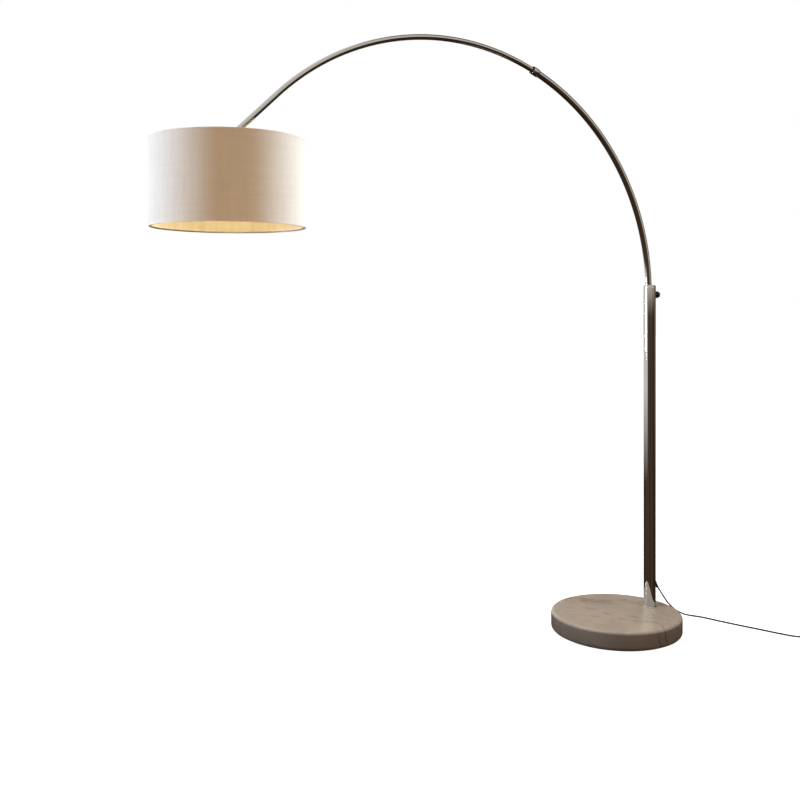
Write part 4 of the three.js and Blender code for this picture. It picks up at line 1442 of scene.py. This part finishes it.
class ARCLAMP_OT_shade(bpy.types.Operator):
    """Make the drum shade: its cloth, its lining, its rim bindings and its wire rings"""

    bl_idname = "arc_lamp.shade"
    bl_label = "Shade"

    def execute(self, context):
        sizes = context.scene.arc_lamp_sizes
        bottom = (SHADE_LOW.z - KNUCKLE_PIN.z) / MM
        top = (SHADE_HIGH.z - KNUCKLE_PIN.z) / MM
        lap = 0.35 * MM
        drum = self.drum(
            "shade_cloth_drum", SHADE_RADIUS, SHADE_RADIUS - 0.6, bottom, top, lap, 1, sizes
        )
        lay_cloth(drum, KNUCKLE_PIN)
        stands_for(drum, "shade_fabric", "shade_fabric")
        lining = self.drum(
            "shade_lining_film", 199.1, 198.5, bottom + 1, top - 1, lap, -1, sizes
        )
        stands_for(lining, "shade_lining", "shade_lining")
        height = sizes.rim_binding / MM
        for name, node, low, high in (
            ("shade_rim_tape_top", "shade_top_binding", top - height, top),
            ("shade_rim_tape_bottom", "shade_bottom_binding", bottom, bottom + height),
        ):
            rings = [(200.3, low), (200.6, low), (200.85, low + 0.5), (200.85, high - 0.5)]
            rings += [(200.6, high), (200.3, high)]
            tape = turned(name, rings, 192, closed=True, edge=0, place=HEAD_PLACE)
            lay_cloth(tape, KNUCKLE_PIN)
            stands_for(tape, "shade_fabric", node)
        for name, node in (
            ("shade_wire_top", "shade_top_ring"),
            ("shade_wire_bottom", "shade_bottom_ring"),
        ):
            low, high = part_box(node)
            self.wire_ring(name, node, (low.z + high.z) / 2)
        self.spider()
        return {"FINISHED"}

    def drum(self, name, outer, inner, low, high, lap, side, sizes):
        """A rolled sheet with its ends lapped: the lap stands proud, outside or inside."""
        rings = [(outer, low), (outer, high), (inner, high), (inner, low)]
        drum = turned(name, rings, 240, closed=True, edge=0, place=HEAD_PLACE)
        half = sizes.seam_width / 2 / (outer * MM)
        middle_radius = (outer + inner) / 2 * MM

        def in_lap(co, normal):
            out = (co - KNUCKLE_PIN).xy
            turn = math.atan2(out.y, out.x) - sizes.seam_angle
            faces_right = (out.length > middle_radius) == (side > 0)
            return abs(turn) < half and faces_right and abs(normal.z) < 0.5

        work_on(drum)
        bpy.ops.object.mode_set(mode="EDIT")
        pick_faces(drum, in_lap)
        bpy.ops.mesh.extrude_region_shrink_fatten(
            TRANSFORM_OT_shrink_fatten={"value": lap}
        )
        bpy.ops.object.mode_set(mode="OBJECT")
        return softened(drum, 0)

    def wire_ring(self, name, node, height):
        """Ring of round wire, its section spun about the shade's axis."""
        clear_selection()
        bpy.ops.mesh.primitive_circle_add(
            vertices=12,
            radius=1.8 * MM,
            location=(KNUCKLE_PIN.x + 195.8 * MM, KNUCKLE_PIN.y, height),
            rotation=(math.radians(90), 0, 0),
        )
        ring = start_piece(name)
        bpy.ops.mesh.spin(
            steps=180,
            angle=math.radians(360),
            center=(KNUCKLE_PIN.x, KNUCKLE_PIN.y, height),
            axis=(0, 0, 1),
        )
        close_shape()
        put(ring, Matrix())
        softened(ring, 0)
        stands_for(ring, "zinc_steel", node)

    def spider(self):
        """Hub and three bent wire arms, welded to the hub and to the top ring."""
        hub = turned(
            "shade_carrier",
            [(5.4, -18), (15, -18), (15, -16), (5.4, -16)],
            72,
            closed=True,
            edge=0.3 * MM,
            place=HEAD_PLACE,
        )
        ring_height = (SHADE_HIGH.z - KNUCKLE_PIN.z) / MM - 6.2
        arm = (
            (11.5, -15),
            (26, -14),
            (165, ring_height - 1),
            (183, ring_height - 0.3),
            (195, ring_height),
        )
        parts = [hub]
        for angle in (60, 180, 300):
            wire = bpy.data.curves.new("arm", "CURVE")
            wire.dimensions, wire.bevel_depth, wire.bevel_resolution = "3D", 2 * MM, 4
            wire.use_fill_caps = True
            spline = wire.splines.new("BEZIER")
            spline.bezier_points.add(len(arm) - 1)
            turn = HEAD_PLACE @ Matrix.Rotation(math.radians(angle), 4, "Z")
            for knot, (reach, rise) in zip(spline.bezier_points, arm):
                knot.co = turn @ (MM * Vector((reach, 0, rise)))
                knot.handle_left_type = knot.handle_right_type = "AUTO"
            limb = bpy.data.objects.new("arm", wire)
            bpy.context.scene.collection.objects.link(limb)
            work_on(limb)
            bpy.ops.object.convert(target="MESH")
            parts.append(bpy.context.object)
        work_on(hub)
        for part in parts:
            part.select_set(True)
        bpy.ops.object.join()
        softened(hub, 0)
        stands_for(hub, "zinc_steel", "shade_spider")


class ARCLAMP_OT_lampholder(bpy.types.Operator):
    """Make the lampholder and the bulb"""

    bl_idname = "arc_lamp.lampholder"
    bl_label = "Lampholder and bulb"

    def execute(self, context):
        cap_rings = [(5.4, -18.3), (12.5, -18.3), (16, -20.4), (18.4, -23.2), (20, -26.6)]
        cap_rings += [(20.5, -30), (20.5, -43.6), (20.1, -45), (18.9, -45), (18.9, -31)]
        cap_rings += [(16.6, -25), (12, -20.5), (5.4, -20.5)]
        cap = turned(
            "lampholder_dome", cap_rings, 96, closed=True, edge=0.2 * MM, place=HEAD_PLACE
        )
        stands_for(cap, "black_plastic", "lampholder_cap")
        shell_rings = [(15.6, -45.3), (20.5, -45.3), (20.5, -50)]
        for groove in (52, 55, 58):
            shell_rings += [(20.5, -groove), (19.8, -groove - 0.6), (19.8, -groove - 1.4)]
            shell_rings += [(20.4, -groove - 2)]
        shell_rings += [(20.3, -62), (19.2, -73), (16.8, -73), (16.8, -62), (15.6, -60)]
        shell = turned(
            "lampholder_barrel", shell_rings, 96, closed=True, edge=0.15 * MM, place=HEAD_PLACE
        )
        stands_for(shell, "black_plastic", "lampholder_shell")
        housing_rings = [(0, -73.3), (13.4, -73.3), (13.8, -76), (15, -80), (17.2, -85)]
        housing_rings += [(20.6, -92.5), (24, -100), (27, -106), (28.4, -109), (28.6, -110)]
        housing_rings += [(0, -110)]
        housing = turned("bulb_body", housing_rings, 96, edge=0.1 * MM, place=HEAD_PLACE)
        stands_for(housing, "bulb_housing", "bulb_housing")
        globe_radius, wall, rim_angle, steps = 30, 1, 22, 14
        centre = -110.3 - globe_radius * math.sin(math.radians(rim_angle))
        outside, inside = [], []
        for i in range(steps + 1):
            a = math.radians(-90 + (90 + rim_angle) * i / steps)
            for line, radius in ((outside, globe_radius), (inside, globe_radius - wall)):
                line.append((radius * math.cos(a) if i else 0, centre + radius * math.sin(a)))
        globe = turned("bulb_dome", outside + inside[::-1], 96, edge=0, place=HEAD_PLACE)
        stands_for(globe, "opal_globe", "bulb_globe")
        return {"FINISHED"}


class ARCLAMP_OT_hardware(bpy.types.Operator):
    """Finish the CAD solids that are seen as they are, such as nuts, screws and bushes"""

    bl_idname = "arc_lamp.hardware"
    bl_label = "Hardware"

    def execute(self, context):
        kept = {
            "pad_felt": ("base_pad",),
            "zinc_steel": (
                "base_bolt",
                "base_washer",
                "pole_foot_plug",
                "clamp_screw",
                "collar_set_screw",
                "nipple_nut",
                "bulb_cap",
            ),
            "white_nylon": ("pole_bush", "tail_guide"),
            "brass": ("clamp_pad", "contact_tab", "thread_sleeve"),
            "porcelain": ("lampholder_insert",),
            "cord_pvc": ("supply_lead_pole", "supply_lead_lower", "supply_lead_upper"),
        }
        for finish, nodes in kept.items():
            for name in nodes:
                for slot in frame["nodes"][name].material_slots:
                    slot.material = FINISHES[finish]
        return {"FINISHED"}


# ---------------------------------------------------------------- the add-on


class ARCLAMP_PT_panel(bpy.types.Panel):
    """The lamp's operators in the order they are run, with its sizes and colours"""

    bl_idname = "ARCLAMP_PT_panel"
    bl_label = "Arc floor lamp"
    bl_space_type = "VIEW_3D"
    bl_region_type = "UI"
    bl_category = "Arc lamp"

    def draw(self, context):
        for group in (context.scene.arc_lamp_sizes, context.scene.arc_lamp_colours):
            box = self.layout.box()
            for name in group.__annotations__:
                box.prop(group, name)
        for step in STEPS:
            self.layout.operator(step.bl_idname)


STEPS = (
    ARCLAMP_OT_stage,
    ARCLAMP_OT_cord,
    ARCLAMP_OT_base,
    ARCLAMP_OT_pole,
    ARCLAMP_OT_clamp,
    ARCLAMP_OT_arm,
    ARCLAMP_OT_shade,
    ARCLAMP_OT_lampholder,
    ARCLAMP_OT_hardware,
)
CLASSES = (LampSizes, LampColours, *STEPS, ARCLAMP_PT_panel)


def register():
    """Registers the add-on's classes and its two groups of settings."""
    for cls in CLASSES:
        bpy.utils.register_class(cls)
    bpy.types.Scene.arc_lamp_sizes = bpy.props.PointerProperty(type=LampSizes)
    bpy.types.Scene.arc_lamp_colours = bpy.props.PointerProperty(type=LampColours)


def unregister():
    """Removes what register added."""
    del bpy.types.Scene.arc_lamp_colours
    del bpy.types.Scene.arc_lamp_sizes
    for cls in reversed(CLASSES):
        bpy.utils.unregister_class(cls)


def main():
    """Builds the lamp."""
    register()
    for step in STEPS:
        category, name = step.bl_idname.split(".")
        getattr(getattr(bpy.ops, category), name)()
    clear_selection()


if __name__ == "__main__":
    main()
